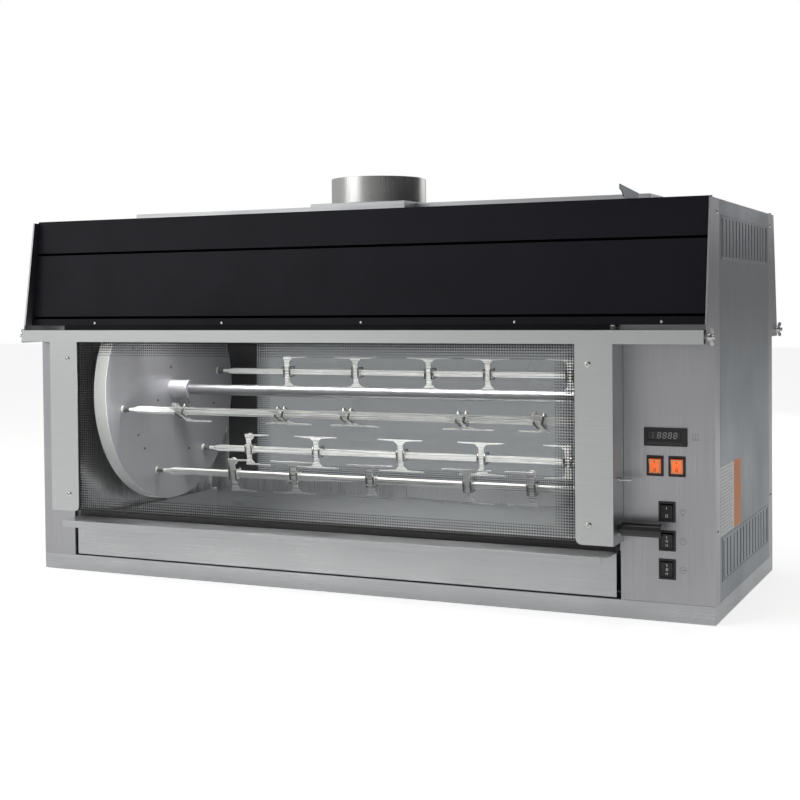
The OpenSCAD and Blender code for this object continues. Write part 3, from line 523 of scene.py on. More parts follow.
# %% Helpers for Geometry Nodes
class Tree:
    """A small hand for building a Geometry Nodes tree."""

    def __init__(self, name, inputs):
        self.group = bpy.data.node_groups.new(name, "GeometryNodeTree")
        self.ids = {}
        for label, kind, value in inputs:
            s = self.group.interface.new_socket(label, in_out="INPUT", socket_type=kind)
            if value is not None:
                s.default_value = value
            self.ids[label] = s.identifier
        self.group.interface.new_socket("Geometry", in_out="OUTPUT", socket_type="NodeSocketGeometry")
        self.start = self.add("NodeGroupInput")
        self.end = self.add("NodeGroupOutput")

    def add(self, kind, inputs=(), **settings):
        n = self.group.nodes.new(kind)
        for key, value in settings.items():
            setattr(n, key, value)
        for key, value in dict(inputs).items():
            if isinstance(value, bpy.types.NodeSocket):
                self.group.links.new(value, n.inputs[key])
            else:
                n.inputs[key].default_value = value
        return n

    def given(self, label):
        """The output of one of the tree's named inputs."""
        return self.start.outputs[label]

    def math(self, operation, a, b=None):
        """The result of one operation on one or two values or sockets."""
        inputs = {0: a} if b is None else {0: a, 1: b}
        return self.add("ShaderNodeMath", inputs, operation=operation).outputs[0]

    def close(self, geometry, look):
        """Realizes the instances, gives them a finish and ends the tree."""
        real = self.add("GeometryNodeRealizeInstances", {0: geometry}).outputs[0]
        done = self.add("GeometryNodeSetMaterial", {0: real, "Material": finish[look]}).outputs[0]
        self.group.links.new(done, self.end.inputs[0])


def grow(tree, name, values, body, start=None):
    """Runs a tree with its own values and keeps the result as a plain mesh on one body."""
    seed = start or mesh_object("seed", [], [])
    modifier = seed.modifiers.new("grow", "NODES")
    modifier.node_group = tree.group
    for label, value in values.items():
        modifier[tree.ids[label]] = value
    bpy.context.view_layer.update()
    graph = bpy.context.evaluated_depsgraph_get()
    mesh = bpy.data.meshes.new_from_object(seed.evaluated_get(graph))
    bpy.data.objects.remove(seed)
    ob = bpy.data.objects.new(name, mesh)
    scene.collection.objects.link(ob)
    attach(ob, body)
    print(name, len(mesh.vertices), "points", len(mesh.polygons), "faces")
    return ob


print("Geometry Nodes helpers ready")

# %% [markdown]
# ## The printed border of the glass
# Each pane has a black ceramic border fired onto its inner face. Behind the stiles it is solid, and
# inwards it breaks up into dots that get smaller, so the hot edge doesn't show as a hard line. The
# dots are a lattice with a rule for their size, so Geometry Nodes lay them: a grid, less the clear
# window, with a small disc on each point that is scaled by its depth into the border.

# %% A tree of printed dots
finish["ceramic_print"] = moulded("ceramic_print", (0.012, 0.012, 0.013), 0.45, 1500, 0.05, shine=0.2)
dots = Tree("printed dots", [
    ("Width", "NodeSocketFloat", 1.0), ("Height", "NodeSocketFloat", 0.3),
    ("Pitch", "NodeSocketFloat", 0.005), ("Side band", "NodeSocketFloat", 0.039),
    ("Top band", "NodeSocketFloat", 0.03), ("Least radius", "NodeSocketFloat", 0.0010),
    ("Most radius", "NodeSocketFloat", 0.0023), ("Thickness", "NodeSocketFloat", 0.0001),
    ("Centre", "NodeSocketVector", (0, 0, 0))])
count = [dots.math("ADD", dots.math("ROUND", dots.math("DIVIDE", dots.given(s), dots.given("Pitch"))), 1.0)
         for s in ("Width", "Height")]
grid = dots.add("GeometryNodeMeshGrid", {
    "Size X": dots.given("Width"), "Size Y": dots.given("Height"),
    "Vertices X": count[0], "Vertices Y": count[1]}).outputs[0]
at = dots.add("ShaderNodeSeparateXYZ", {0: dots.add("GeometryNodeInputPosition").outputs[0]})


def depth(axis, size, band):
    """How far a point lies into the border, from 0 at its inner edge to 1 at its outer edge."""
    half = dots.math("MULTIPLY", dots.given(size), 0.5)
    edge = dots.math("SUBTRACT", half, dots.given(band))
    into = dots.math("SUBTRACT", dots.math("ABSOLUTE", at.outputs[axis]), edge)
    return dots.math("DIVIDE", into, dots.given(band))


deep = dots.math("MAXIMUM", depth("X", "Width", "Side band"), depth("Y", "Height", "Top band"))
border = dots.add("GeometryNodeDeleteGeometry", {
    0: grid, "Selection": dots.math("LESS_THAN", deep, 0.0)}, domain="POINT").outputs[0]
span = dots.math("SUBTRACT", dots.given("Most radius"), dots.given("Least radius"))
radius = dots.math("ADD", dots.given("Least radius"), dots.math("MULTIPLY", deep, span))
disc = dots.add("GeometryNodeMeshCylinder", {
    "Vertices": 8, "Radius": 1.0, "Depth": dots.given("Thickness")})
size = dots.add("ShaderNodeCombineXYZ", {0: radius, 1: radius, 2: 1.0}).outputs[0]
spread = dots.add("GeometryNodeInstanceOnPoints", {
    "Points": border, "Instance": disc.outputs["Mesh"], "Scale": size}).outputs[0]
stood = dots.add("GeometryNodeTransform", {
    "Geometry": spread, "Translation": dots.given("Centre"), "Rotation": (math.pi / 2, 0, 0)}).outputs[0]
dots.close(stood, "ceramic_print")
print("dots tree:", len(dots.group.nodes), "nodes")

# %% [markdown]
# The print lies on the face of each pane that looks into the cavity. The rear pane has a wider solid
# band than the front one: its extra 26 mm is painted shade for the shadowed back of the rear stile. The
# dots end under the door's rail.

# %% Dots on both panes
STILE = 57 * MM  # the part of the glass that a stile covers
RAIL = 24 * MM  # the height of the rail that the glass hangs from
# The rear's extra 26 mm of solid print is painted shade, for the shadowed back of the rear stile.
PRINT = {"front": STILE, "rear": STILE + 26 * MM}  # the solid print at each side of a pane
INWARDS = {"front": 1, "rear": -1}  # which way along y the cavity lies from a door


def inner_face(side):
    """The y of the face of a door's glass that looks into the cavity."""
    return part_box(f"{side}_door_glass")[1 if side == "front" else 0].y


for side in ("front", "rear"):
    low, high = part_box(f"{side}_door_glass")
    rail_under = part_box(f"{side}_door_frame")[1].z - RAIL
    wide, tall = high.x - low.x - 2 * PRINT[side], rail_under - low.z
    print_y = inner_face(side) + INWARDS[side] * 0.05 * MM
    grow(dots, f"{side}_glass_dots", {
        "Width": wide - 4 * MM, "Height": tall - 4 * MM, "Pitch": 5 * MM,
        "Centre": ((low.x + high.x) / 2, print_y, (low.z + rail_under) / 2)},
        f"{side}_door")

# %% [markdown]
# ## Small plates and bars
# Labels, printed strips, seals and stops are thin rectangular pieces. One helper makes any number
# of closed boxes as one mesh, with the same small rounded edge that the sheet metal has.

# %% Boxes as one mesh
BOX_FACES = ((0, 2, 3, 1), (4, 5, 7, 6), (0, 1, 5, 4), (2, 6, 7, 3), (0, 4, 6, 2), (1, 3, 7, 5))


def boxes(name, corners, look, body, edge=0.0):
    """Closed boxes, each from its lowest to its highest corner in metres, as one piece on a body."""
    verts, faces = [], []
    for a, b in corners:
        n = len(verts)
        verts += [(x, y, z) for x in (a[0], b[0]) for y in (a[1], b[1]) for z in (a[2], b[2])]
        faces += [tuple(n + i for i in f) for f in BOX_FACES]
    return settle(mesh_object(name, verts, faces, finish[look]), body, edge)


def settle(ob, body, edge=0.0, smooth=True):
    """Turns a new mesh's faces outwards, smooths it, rounds its edges and puts it on its body."""
    bm = bmesh.new()
    bm.from_mesh(ob.data)
    bmesh.ops.remove_doubles(bm, verts=bm.verts, dist=1e-7)
    bmesh.ops.recalc_face_normals(bm, faces=bm.faces)
    bm.to_mesh(ob.data)
    bm.free()
    for face in ob.data.polygons:
        face.use_smooth = smooth
    ob.data.set_sharp_from_angle(angle=SOFT_EDGE)
    if edge:
        round_edges(ob, edge, clamp=True)
    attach(ob, body)
    return ob


for side in ("front", "rear"):
    low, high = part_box(f"{side}_door_glass")
    y0, y1 = sorted((inner_face(side), inner_face(side) + INWARDS[side] * 0.1 * MM))
    boxes(f"{side}_glass_border", [
        ((low.x + 1 * MM, y0, low.z + 1 * MM), (low.x + PRINT[side], y1, high.z - 1 * MM)),
        ((high.x - PRINT[side], y0, low.z + 1 * MM), (high.x - 1 * MM, y1, high.z - 1 * MM))],
        "ceramic_print", f"{side}_door")
print("solid borders behind the stiles")

# %% [markdown]
# ## Painted gap shade, a seal and folds
# A black bar on the drawer's ledge paints the shade in the gap under the front glass, a strip behind
# the rear door closes the gap under the rear glass, and the hood's lips are folded back so that no raw
# edge shows. They span the mouth of the cavity.

# %% Painted gap shade, the rear seal, and the hood's return folds
# The drawer's black bar is painted shade: it darkens the gap between the ledge and the front glass.
finish["gap_shade_black"] = moulded("gap_shade_black", (0.045, 0.043, 0.042), 0.4, 1200, 0.1)
MOUTH = [corner.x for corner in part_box("drip_drawer")]
boxes("drawer_gap_shade", [((MOUTH[0], -262 * MM, 112 * MM), (MOUTH[1], -246 * MM, 131 * MM))],
      "gap_shade_black", "drawer", 1.0)
boxes("rear_seal", [((MOUTH[0], 247 * MM, 112 * MM), (MOUTH[1], 259 * MM, 150 * MM))],
      "inner_steel", "casing", 1.0)
boxes("hood_return_folds", [((MOUTH[0] - 3 * MM, y0 * MM, 511 * MM), (MOUTH[1], y1 * MM, 534 * MM))
                            for y0, y1 in ((-301, -299), (299, 301))],
      "black_enamel", "casing", 0.4)
print("two seals and the hood's return folds")

# %% [markdown]
# ## Turned pieces
# Screw heads, knobs and sockets are turned on a lathe. A profile of radii and heights, swept round
# an axis, gives each one as a closed mesh. The dome of a screw has a six-sided socket: its inner
# rings are pulled onto a hexagon, so the recess is real and catches light.

# %% A lathe
def ring_radius(r, turn, sides):
    """The radius at an angle, on a circle or on a polygon with this many sides."""
    if not sides:
        return r
    part = 2 * math.pi / sides
    return r * math.cos(part / 2) / math.cos((turn % part) - part / 2)


def lathe(profile, steps=24):
    """Verts and faces of a closed turned shape along Z. Each row is radius, height, sides or 0."""
    verts, faces = [], []
    for r, z, sides in profile:
        for k in range(steps):
            a = 2 * math.pi * k / steps
            reach = ring_radius(r, a, sides)
            verts.append((reach * math.cos(a), reach * math.sin(a), z))
    for j in range(len(profile) - 1):
        for k in range(steps):
            n = (k + 1) % steps
            faces.append((j * steps + k, j * steps + n, (j + 1) * steps + n, (j + 1) * steps + k))
    faces.append(tuple(range(steps))[::-1])
    faces.append(tuple(range((len(profile) - 1) * steps, len(profile) * steps)))
    return verts, faces


def turned(name, profile, axis, places, look, body, steps=24):
    """The same turned shape at several places, each pointing along axis, as one mesh on a body."""
    spin = Vector((0, 0, 1)).rotation_difference(Vector(axis))
    shape, shape_faces = lathe([(r * MM, z * MM, s) for r, z, s in profile], steps)
    verts, faces = [], []
    for place in places:
        n = len(verts)
        verts += [tuple(spin @ Vector(v) + Vector(place)) for v in shape]
        faces += [tuple(n + i for i in f) for f in shape_faces]
    return settle(mesh_object(name, verts, faces, finish[look]), body)


print("lathe ready, with", len(lathe([(1, 0, 0), (1, 1, 0)])[1]), "faces in a plain disc")

# %% [markdown]
# Four domed screws hold each pane to its stiles, and a pin with a hexagon nut stands on the side of
# the door, where the hooked bracket on the roof catches it. Smaller screws of the same kind sit at
# the corners of each side. They stand for the plain discs of the CAD model, whose copies go.

# %% Screws and catch pins
DOME = [(6.0, 0, 0), (6.0, 0.4, 0), (5.4, 1.3, 0), (4.2, 2.0, 0), (2.8, 2.4, 0), (2.3, 2.45, 6),
        (2.2, 2.3, 6), (2.1, 0.8, 6), (0.2, 0.6, 6)]
PIN = [(2.4, 0, 0), (2.5, 0.5, 0), (4.9, 0.6, 6), (5.0, 4.6, 6), (4.4, 5.0, 6), (2.5, 5.1, 0),
       (2.5, 24.2, 0), (1.9, 25.0, 0)]
SIDE_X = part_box("side_panels")[1].x
DOOR_FACE_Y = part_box("rear_door_frame")[1].y
GLASS_SCREWS = [(x * MM, z * MM) for x in (-606, 517) for z in (173, 454)]
SIDE_SCREWS = [(y * MM, z * MM) for y in (-251, 251) for z in (159, 716)]
PIN_AT = Vector((562, 305, 251)) * MM
for side in ("front", "rear"):
    bpy.data.objects.remove(skins.pop(f"{side}_door_fasteners"))
    out = -INWARDS[side]
    heads = turned(f"{side}_glass_screws", DOME, (0, out, 0),
                   [(x, out * DOOR_FACE_Y, z) for x, z in GLASS_SCREWS],
                   "fasteners", f"{side}_door")
    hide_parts(f"{side}_door_fasteners")
    turned(f"{side}_catch_pin", PIN, (1, 0, 0), [(PIN_AT.x, out * PIN_AT.y, PIN_AT.z)],
           "fasteners", f"{side}_door")
bpy.data.objects.remove(skins.pop("panel_screws"))
for out in HAND:
    heads = turned(f"side_screws_{HAND[out]}", [(r * 0.66, z * 0.8, sides) for r, z, sides in DOME],
                   (out, 0, 0), [(out * SIDE_X, y, z) for y, z in SIDE_SCREWS],
                   "fasteners", "casing")
    if out > 0:
        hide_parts("panel_screws")
print("8 glass screws, 2 catch pins and 8 side screws")

# %% [markdown]
# ## Wing nuts
# Each door hangs on two pivot bolts with wing nuts, so that it can be taken off for cleaning. A
# wing nut is a cast cone with two ears that flare outwards. The ear is drawn as an outline, given
# a thickness that tapers to its tip, and mirrored by sign. Its faces are turned outwards afterwards.

# %% Pivot bolts with wing nuts
bpy.data.objects.remove(skins.pop("door_pivots"))
NUT = [(4.0, -26, 0), (4.0, 0, 0), (7.0, 0.1, 0), (7.0, 1.5, 0), (6.2, 5.0, 0), (4.8, 7.0, 0),
       (4.0, 7.2, 0), (4.0, 11.2, 0), (3.2, 12.0, 0)]
EAR = [(1, 3), (1.5, 6), (3, 9), (3.5, 12.5), (5, 14.6), (7.2, 15), (9.5, 13.8), (10.4, 11.2),
       (9.6, 8.2), (7.6, 5.6), (6, 3)]
PIVOT_Y, PIVOT_Z = 323.5 * MM, middle_of("door_pivots").z


def ear_thickness(height):
    """Half the thickness of an ear in millimetres, at a height above the bolt's middle."""
    return 1.61 - 0.035 * height


for end in HAND:
    turned(f"pivot_bolts_{HAND[end]}", NUT, (end, 0, 0),
           [(end * SIDE_X, y * PIVOT_Y, PIVOT_Z) for y in (-1, 1)], "fasteners", "casing")
    verts, faces = [], []
    for y in (-1, 1):
        for up in (-1, 1):
            n, m = len(verts), len(EAR)
            for face_side in (-1, 1):
                verts += [(end * (SIDE_X + along * MM), y * PIVOT_Y + face_side * ear_thickness(height) * MM,
                           PIVOT_Z + up * height * MM) for along, height in EAR]
            faces += [tuple(range(n, n + m)), tuple(range(n + m, n + 2 * m))[::-1]]
            faces += [(n + i, n + (i + 1) % m, n + m + (i + 1) % m, n + m + i) for i in range(m)]
    ears = settle(mesh_object(f"wing_nut_ears_{HAND[end]}", verts, faces, finish["fasteners"]),
                  "casing", 0.4)
    if end > 0:
        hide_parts("door_pivots")
print("4 pivot bolts with wing nuts")

# %% [markdown]
# ## The digital controller
# The controller is a black panel instrument: a dark window with four seven-segment digits, a column
# of small indicator dots, and a strip of keys below. The digits are real bars of seven segments,
# which lean a little, because a picture of digits would blur when somebody looks closely.

# %% Window and key strip
finish["window"] = moulded("window", (0.020, 0.021, 0.024), 0.12, 900, 0.02)
low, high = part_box("controller")
panel_y, middle_x, middle_z = low.y, middle_of("controller").x, middle_of("controller").z
boxes("controller_window", [
    ((low.x + 7.2 * MM, panel_y + 0.75 * MM, middle_z - 4.8 * MM),
     (high.x - 10.2 * MM, panel_y + 1.2 * MM, middle_z + 10.8 * MM))], "window", "casing")
boxes("controller_keys", [
    ((low.x + 6 * MM, panel_y - 0.35 * MM, middle_z - 12.5 * MM),
     (high.x - 6 * MM, panel_y + 0.2 * MM, middle_z - 9.0 * MM)),
    ((low.x + 6 * MM, panel_y - 0.2 * MM, middle_z - 7.6 * MM),
     (high.x - 6 * MM, panel_y + 0.2 * MM, middle_z - 7.0 * MM))],
      "handle_black", "casing", 0.15)
print("controller window and keys")

# %% [markdown]
# A digit has three level bars and four upright ones. Each bar is a six-sided outline with pointed
# ends, and a gap keeps it clear of its neighbours. Sizes here are in millimetres.

# %% Digits and indicator dots
finish["segments"] = moulded("segments", (0.42, 0.42, 0.40), 0.5, 1500, 0.05)
LEAN = 0.14
HALF_W, HALF_H = 2.6, 4.9
HALF_BAR, BAR_GAP = 0.62, 0.35
LEVEL_BAR, UPRIGHT_BAR = 5.2, 4.9
DIGIT_PITCH, FIRST_DIGIT, DIGIT_RISE = 9.6, -10.5, 3
DOT_RADIUS, DOT_PITCH, DOTS_X, TOP_DOT = 0.8, 3.6, -21.5, 6.5


def segment(cx, cz, length, upright):
    """A six-sided bar of a digit, as outline points."""
    h, b = length / 2 - BAR_GAP, HALF_BAR
    pts = [(-h, 0), (-h + b, b), (h - b, b), (h, 0), (h - b, -b), (-h + b, -b)]
    if upright:
        pts = [(z, x) for x, z in pts]
    return [(cx + x + LEAN * (cz + z), cz + z) for x, z in pts]


def prisms(name, outlines, y0, y1, look, body):
    """Flat outlines in x and z, given a thickness between y0 and y1, as one closed mesh."""
    verts, faces = [], []
    for pts in outlines:
        n, m = len(verts), len(pts)
        verts += [(x, y, z) for y in (y0, y1) for x, z in pts]
        faces += [tuple(range(n, n + m)), tuple(range(n + m, n + 2 * m))[::-1]]
        faces += [(n + i, n + m + i, n + m + (i + 1) % m, n + (i + 1) % m) for i in range(m)]
    return settle(mesh_object(name, verts, faces, finish[look]), body, smooth=False)


def on_controller(points):
    """Outline points in millimetres from the controller's middle, as places in metres."""
    return [(middle_x + x * MM, middle_z + z * MM) for x, z in points]


bars = []
for digit in range(4):
    for dx, dz, length, upright in [(0, up * HALF_H, LEVEL_BAR, False) for up in (1, 0, -1)] + [
            (across * HALF_W, up * HALF_H / 2, UPRIGHT_BAR, True) for up in (1, -1) for across in (-1, 1)]:
        bars.append(on_controller([(x + FIRST_DIGIT + digit * DIGIT_PITCH, z + DIGIT_RISE)
                                   for x, z in segment(dx, dz, length, upright)]))
for k in range(3):
    bars.append(on_controller([
        (DOTS_X + DOT_RADIUS * math.cos(t), TOP_DOT - DOT_PITCH * k + DOT_RADIUS * math.sin(t))
        for t in [math.radians(45 * i) for i in range(8)]]))
prisms("controller_digits", bars, panel_y + 0.72 * MM, panel_y + 0.55 * MM,
       "segments", "casing")
print("controller:", len(bars), "segments and dots")

# %% [markdown]
# ## Marks on the switches
# The rockers carry moulded marks: a bar for on and a ring for off, and two bars for the second
# speed. The rockers are tilted and bent, so each mark is laid on its rocker's own surface: every
# point of its outline is found by a ray onto the CAD shape, and the mark stands a tenth proud.

# %% Strokes laid on a surface
IN_FRONT = -0.6  # where the rays start, in metres


def surface_of(node):
    """A search tree of a CAD node's shape."""
    mesh = nodes[node].data
    mesh.calc_loop_triangles()
    return BVHTree.FromPolygons([v.co for v in mesh.vertices], [t.vertices for t in mesh.loop_triangles])


def ring(cx, cz, rx, rz, wide, steps=28, square=0.0):
    """Inner and outer outline points of a ring; square moves it from round towards a rectangle."""
    pts = []
    for k in range(steps):
        a = 2 * math.pi * k / steps
        c, s = math.cos(a), math.sin(a)
        p = 2 / (2 + 6 * square)
        ux, uz = math.copysign(abs(c) ** p, c), math.copysign(abs(s) ** p, s)
        pts.append(((cx + (rx - wide) * ux, cz + (rz - wide) * uz), (cx + rx * ux, cz + rz * uz)))
    return pts


def strip(x0, z0, x1, z1, wide, steps=4):
    """A straight stroke as pairs of points on its two sides."""
    dx, dz = x1 - x0, z1 - z0
    length = math.hypot(dx, dz)
    nx, nz = -dz / length * wide / 2, dx / length * wide / 2
    return [((x0 + dx * k / steps - nx, z0 + dz * k / steps - nz),
             (x0 + dx * k / steps + nx, z0 + dz * k / steps + nz)) for k in range(steps + 1)]


def laid_marks(name, strokes, surface, look, body, proud=0.12, sunk=0.25):
    """Strokes laid on a front surface. Each stroke is pairs of points, and closed or open."""
    verts, faces = [], []
    for pairs, closed in strokes:
        n, m = len(verts), len(pairs)
        for lift in (proud, -sunk):
            for pair in pairs:
                for x, z in pair:
                    hit = surface.ray_cast(Vector((x * MM, IN_FRONT, z * MM)), Vector((0, 1, 0)))[0]
                    verts.append((x * MM, hit.y - lift * MM, z * MM))
        top, bottom = n, n + 2 * m
        for k in range(m if closed else m - 1):
            a, b = 2 * k, 2 * ((k + 1) % m)
            faces += [(top + a, top + b, top + b + 1, top + a + 1),
                      (bottom + a, bottom + a + 1, bottom + b + 1, bottom + b),
                      (top + a, bottom + a, bottom + b, top + b),
                      (top + a + 1, top + b + 1, bottom + b + 1, bottom + a + 1)]
        if not closed:
            e = 2 * (m - 1)
            faces += [(top, top + 1, bottom + 1, bottom), (top + e, bottom + e, bottom + e + 1, top + e + 1)]
    return settle(mesh_object(name, verts, faces, finish[look]), body)


print("strokes: ring and strip")

# %% [markdown]
# The two lit switches and the lamp's have a bar over a ring. The others have a ring in the middle,
# and two bars below it. The lit lenses also have a pale rim, where the plastic is thicker.

# %% Marks on the rockers
finish["white_print"] = moulded("white_print", (0.75, 0.75, 0.74), 0.5, 1500, 0.05)
finish["dark_print"] = moulded("dark_print", (0.10, 0.035, 0.02), 0.5, 1500, 0.05)
finish["lens_rim"] = moulded("lens_rim", (0.78, 0.46, 0.27), 0.3, 600, 0.1)
ROCKERS = ("rocker_burner_front", "rocker_burner_rear", "rocker_lamp", "rocker_ignition", "rocker_rotor")
for node in ROCKERS:
    cx, cz = middle_of(node).x / MM, middle_of(node).z / MM
    lit = "burner" in node
    surface = surface_of(node)
    strokes = [(strip(cx, cz + 5.2, cx, cz + 9.4, 1.1), False)]
    if lit or node == "rocker_lamp":
        strokes.append((ring(cx, cz - 6.6, 2.4, 2.8, 0.9), True))
    else:
        strokes.append((ring(cx, cz, 2.1, 2.3, 0.85), True))
        strokes += [(strip(cx + d, cz - 9.2, cx + d, cz - 5.4, 1.0), False) for d in (-1.4, 1.4)]
    laid_marks(f"{node}_marks", strokes, surface, "dark_print" if lit else "white_print", node)
    if lit:
        laid_marks(f"{node}_rim", [(ring(cx, cz, 10.0, 12.3, 2.0, 40, 1.0), True)], surface,
                   "lens_rim", node, 0.3)
print("marks on", len(ROCKERS), "rockers")

# %% [markdown]
# ## Printed symbols
# Small grey symbols beside the switches say what each one does: a thermometer, a lamp, a clock and
# a turning arrow. They are thin prints, so they are laid on the panel in the same way as the marks.

# %% Symbols on the control panel
finish["grey_print"] = moulded("grey_print", (0.07, 0.07, 0.075), 0.55, 1500, 0.05)
ICON_X = 668
LAMP_Z, CLOCK_Z, ARROW_Z = 194, 143, 93
STEMS_X, STEM_PITCH, BULB_Z = 686, 4.4, 321.4


def line(x0, z0, x1, z1, wide=0.6):
    """An open stroke between two places in millimetres from a symbol's middle line."""
    return strip(ICON_X + x0, z0, ICON_X + x1, z1, wide), False


strokes = [(ring(ICON_X, z, radius, radius, 0.5), True)
           for z, radius in ((LAMP_Z, 4.2), (CLOCK_Z, 6.0), (ARROW_Z, 6.0))]
strokes += [line(0, CLOCK_Z, 0, CLOCK_Z + 4.4), line(0, CLOCK_Z, 3, CLOCK_Z)]
strokes += [line(-1.6, LAMP_Z - drop, 1.6, LAMP_Z - drop, 0.5) for drop in (5.4, 6.8)]
strokes += [line(5 * math.cos(a), LAMP_Z + 5 * math.sin(a), 7 * math.cos(a), LAMP_Z + 7 * math.sin(a), 0.5)
            for a in [math.radians(30 + 30 * k) for k in range(5)]]
strokes += [line(-3.4, ARROW_Z, 3.4, ARROW_Z), line(-3.4, ARROW_Z, -1.4, ARROW_Z + 2),
            line(3.4, ARROW_Z, 1.4, ARROW_Z - 2)]
for x in [STEMS_X + STEM_PITCH * k for k in range(3)]:
    strokes += [(strip(x, BULB_Z + 1.6, x, BULB_Z + 11.6, 0.45), False),
                (ring(x, BULB_Z, 1.4, 1.6, 0.45, 14), True)]
laid_marks("panel_symbols", strokes, surface_of("right_cabinet"), "grey_print",
           "casing", 0.06, 0.1)
print("symbols:", len(strokes), "strokes")

# %% [markdown]
# ## The rating label
# A white label with an orange strip sits on the control side. Its words are left out, and plain
# grey rules stand for the lines of a table. Paper stands a fifth of a millimetre proud of the steel.

# %% Label with plain rules
finish["label_white"] = moulded("label_white", (0.93, 0.94, 0.93), 0.5, 900, 0.1, 1.04, 0.94)
finish["label_orange"] = moulded("label_orange", (1.0, 0.27, 0.035), 0.45, 900, 0.1, 1.05, 0.92)
finish["rule_grey"] = moulded("rule_grey", (0.42, 0.43, 0.43), 0.6, 900, 0.05)
PAPER_TOP, INK_TOP = 0.2, 0.26
LABEL_Z = (148, 270)


def on_side(y0, y1, z0, z1, bottom, top):
    """A box on the control side, in millimetres: where it lies, and how far off the steel."""
    return ((SIDE_X + bottom * MM, y0 * MM, z0 * MM), (SIDE_X + top * MM, y1 * MM, z1 * MM))


for name, y0, y1, look in (("label_paper", -231, -116, "label_white"),
                           ("label_strip", -115.6, -53, "label_orange")):
    boxes(name, [on_side(y0, y1, *LABEL_Z, 0, PAPER_TOP)], look, "casing")
random.seed(7)
rules = []
for z in [154 + 6.1 * k for k in range(19)]:
    rules.append(on_side(-226, -122 - 30 * random.random(), z, z + 0.9, PAPER_TOP, INK_TOP))
for y in (-104, -92, -80, -68):
    rules.append(on_side(y, y + 1.2, 156, 200 + 20 * random.random(), PAPER_TOP, INK_TOP))
    rules.append(on_side(y, y + 1.2, 226, 262 + 4 * random.random(), PAPER_TOP, INK_TOP))
boxes("label_rules", rules, "rule_grey", "casing")
print("label with", len(rules), "rules")

# %% [markdown]
# ## Vents
# The side panels breathe through two rows of upright slots. Each slot has a louvre blade just inside
# it, and each row has a raised rim. The blades repeat along the slots, so Geometry Nodes copy one
# leaning blade along a line of points. The pitch and the count are the tree's inputs.

# %% A tree of louvre blades
louvres = Tree("louvres", [
    ("Count", "NodeSocketInt", 15), ("Pitch", "NodeSocketFloat", 0.029),
    ("Blade height", "NodeSocketFloat", 0.066), ("Blade depth", "NodeSocketFloat", 0.0075),
    ("Lean", "NodeSocketFloat", 0.9), ("Centre", "NodeSocketVector", (0, 0, 0))])
gaps = louvres.math("SUBTRACT", louvres.given("Count"), 1.0)
half = louvres.math("MULTIPLY", louvres.math("MULTIPLY", gaps, louvres.given("Pitch")), 0.5)
points = louvres.add("GeometryNodeMeshLine", {
    "Count": louvres.given("Count"),
    "Start Location": louvres.add(
        "ShaderNodeCombineXYZ", {1: louvres.math("MULTIPLY", half, -1.0)}).outputs[0],
    "Offset": louvres.add("ShaderNodeCombineXYZ", {1: louvres.given("Pitch")}).outputs[0]})
plate = louvres.add("GeometryNodeMeshCube", {"Size": louvres.add("ShaderNodeCombineXYZ", {
    0: louvres.given("Blade depth"), 1: 0.0008, 2: louvres.given("Blade height")}).outputs[0]})
turn = louvres.add("ShaderNodeCombineXYZ", {2: louvres.given("Lean")}).outputs[0]
row = louvres.add("GeometryNodeInstanceOnPoints", {
    "Points": points.outputs[0], "Instance": plate.outputs[0], "Rotation": turn}).outputs[0]
moved = louvres.add("GeometryNodeTransform", {
    "Geometry": row, "Translation": louvres.given("Centre")}).outputs[0]
louvres.close(moved, "side_steel")
print("louvre tree:", len(louvres.group.nodes), "nodes")

# %% [markdown]
# A blade stands a little inside the panel and leans forward. The rim is four thin bars round each
# row, a few millimetres outside the slots.

# %% Louvres and rims of the vents
VENTS = (("lower", 72, 66), ("upper", 640, 68))  # the lowest height of the slots and their length
BLADE_IN, BLADE_LEAN = 4.5, 0.95
RIM_Y, RIM_GAP, RIM_WIDE, RIM_PROUD = 217, 6, 2.5, 0.7
for out in HAND:
    for row_name, z0, tall in VENTS:
        grow(louvres, f"louvres_{HAND[out]}_{row_name}", {
            "Blade height": tall * MM, "Lean": -out * BLADE_LEAN,
            "Centre": (out * (SIDE_X - BLADE_IN * MM), 0, (z0 + tall / 2) * MM)},
            "casing")
rims = []
for x0, x1 in ((-SIDE_X - RIM_PROUD * MM, -SIDE_X), (SIDE_X, SIDE_X + RIM_PROUD * MM)):
    for row_name, slot_z, tall in VENTS:
        z0, z1 = slot_z - RIM_GAP, slot_z + tall + RIM_GAP
        for y0, y1, low_z, high_z in (
                (-RIM_Y, RIM_Y, z0, z0 + RIM_WIDE), (-RIM_Y, RIM_Y, z1 - RIM_WIDE, z1),
                (-RIM_Y, RIM_WIDE - RIM_Y, z0 + RIM_WIDE, z1 - RIM_WIDE),
                (RIM_Y - RIM_WIDE, RIM_Y, z0 + RIM_WIDE, z1 - RIM_WIDE)):
            rims.append(((x0, y0 * MM, low_z * MM), (x1, y1 * MM, high_z * MM)))
boxes("vent_rims", rims, "side_steel", "casing", 0.25)
print(len(rims), "rim bars")

# %% [markdown]
# ## Lines on the hood
# Two grooves are pressed across each black hood panel, and their floors lie in shade. A thin black
# strip in each groove paints that shade as a dark line. Small rivets sit along the lip.

# %% Painted groove shade and lip rivets
# A black with no shine, painted shade for the floors of the hood's grooves.
finish["groove_shade_black"] = moulded("groove_shade_black", (0.001, 0.001, 0.001), 0.9, 900, 0.05, shine=0.0)
hood_low, hood_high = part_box("hood_panels")
LIP_Y, LIP_Z = -hood_low.y / MM, hood_low.z / MM
TOP_Y, TOP_Z = 278, 740
GROOVES, RIVET_Z = (536, 670), 527


def hood_face(z):
    """How far the hood panel's sloping outside is from the middle, at a height in millimetres."""
    return LIP_Y + (TOP_Y - LIP_Y) * (z - LIP_Z) / (TOP_Z - LIP_Z)


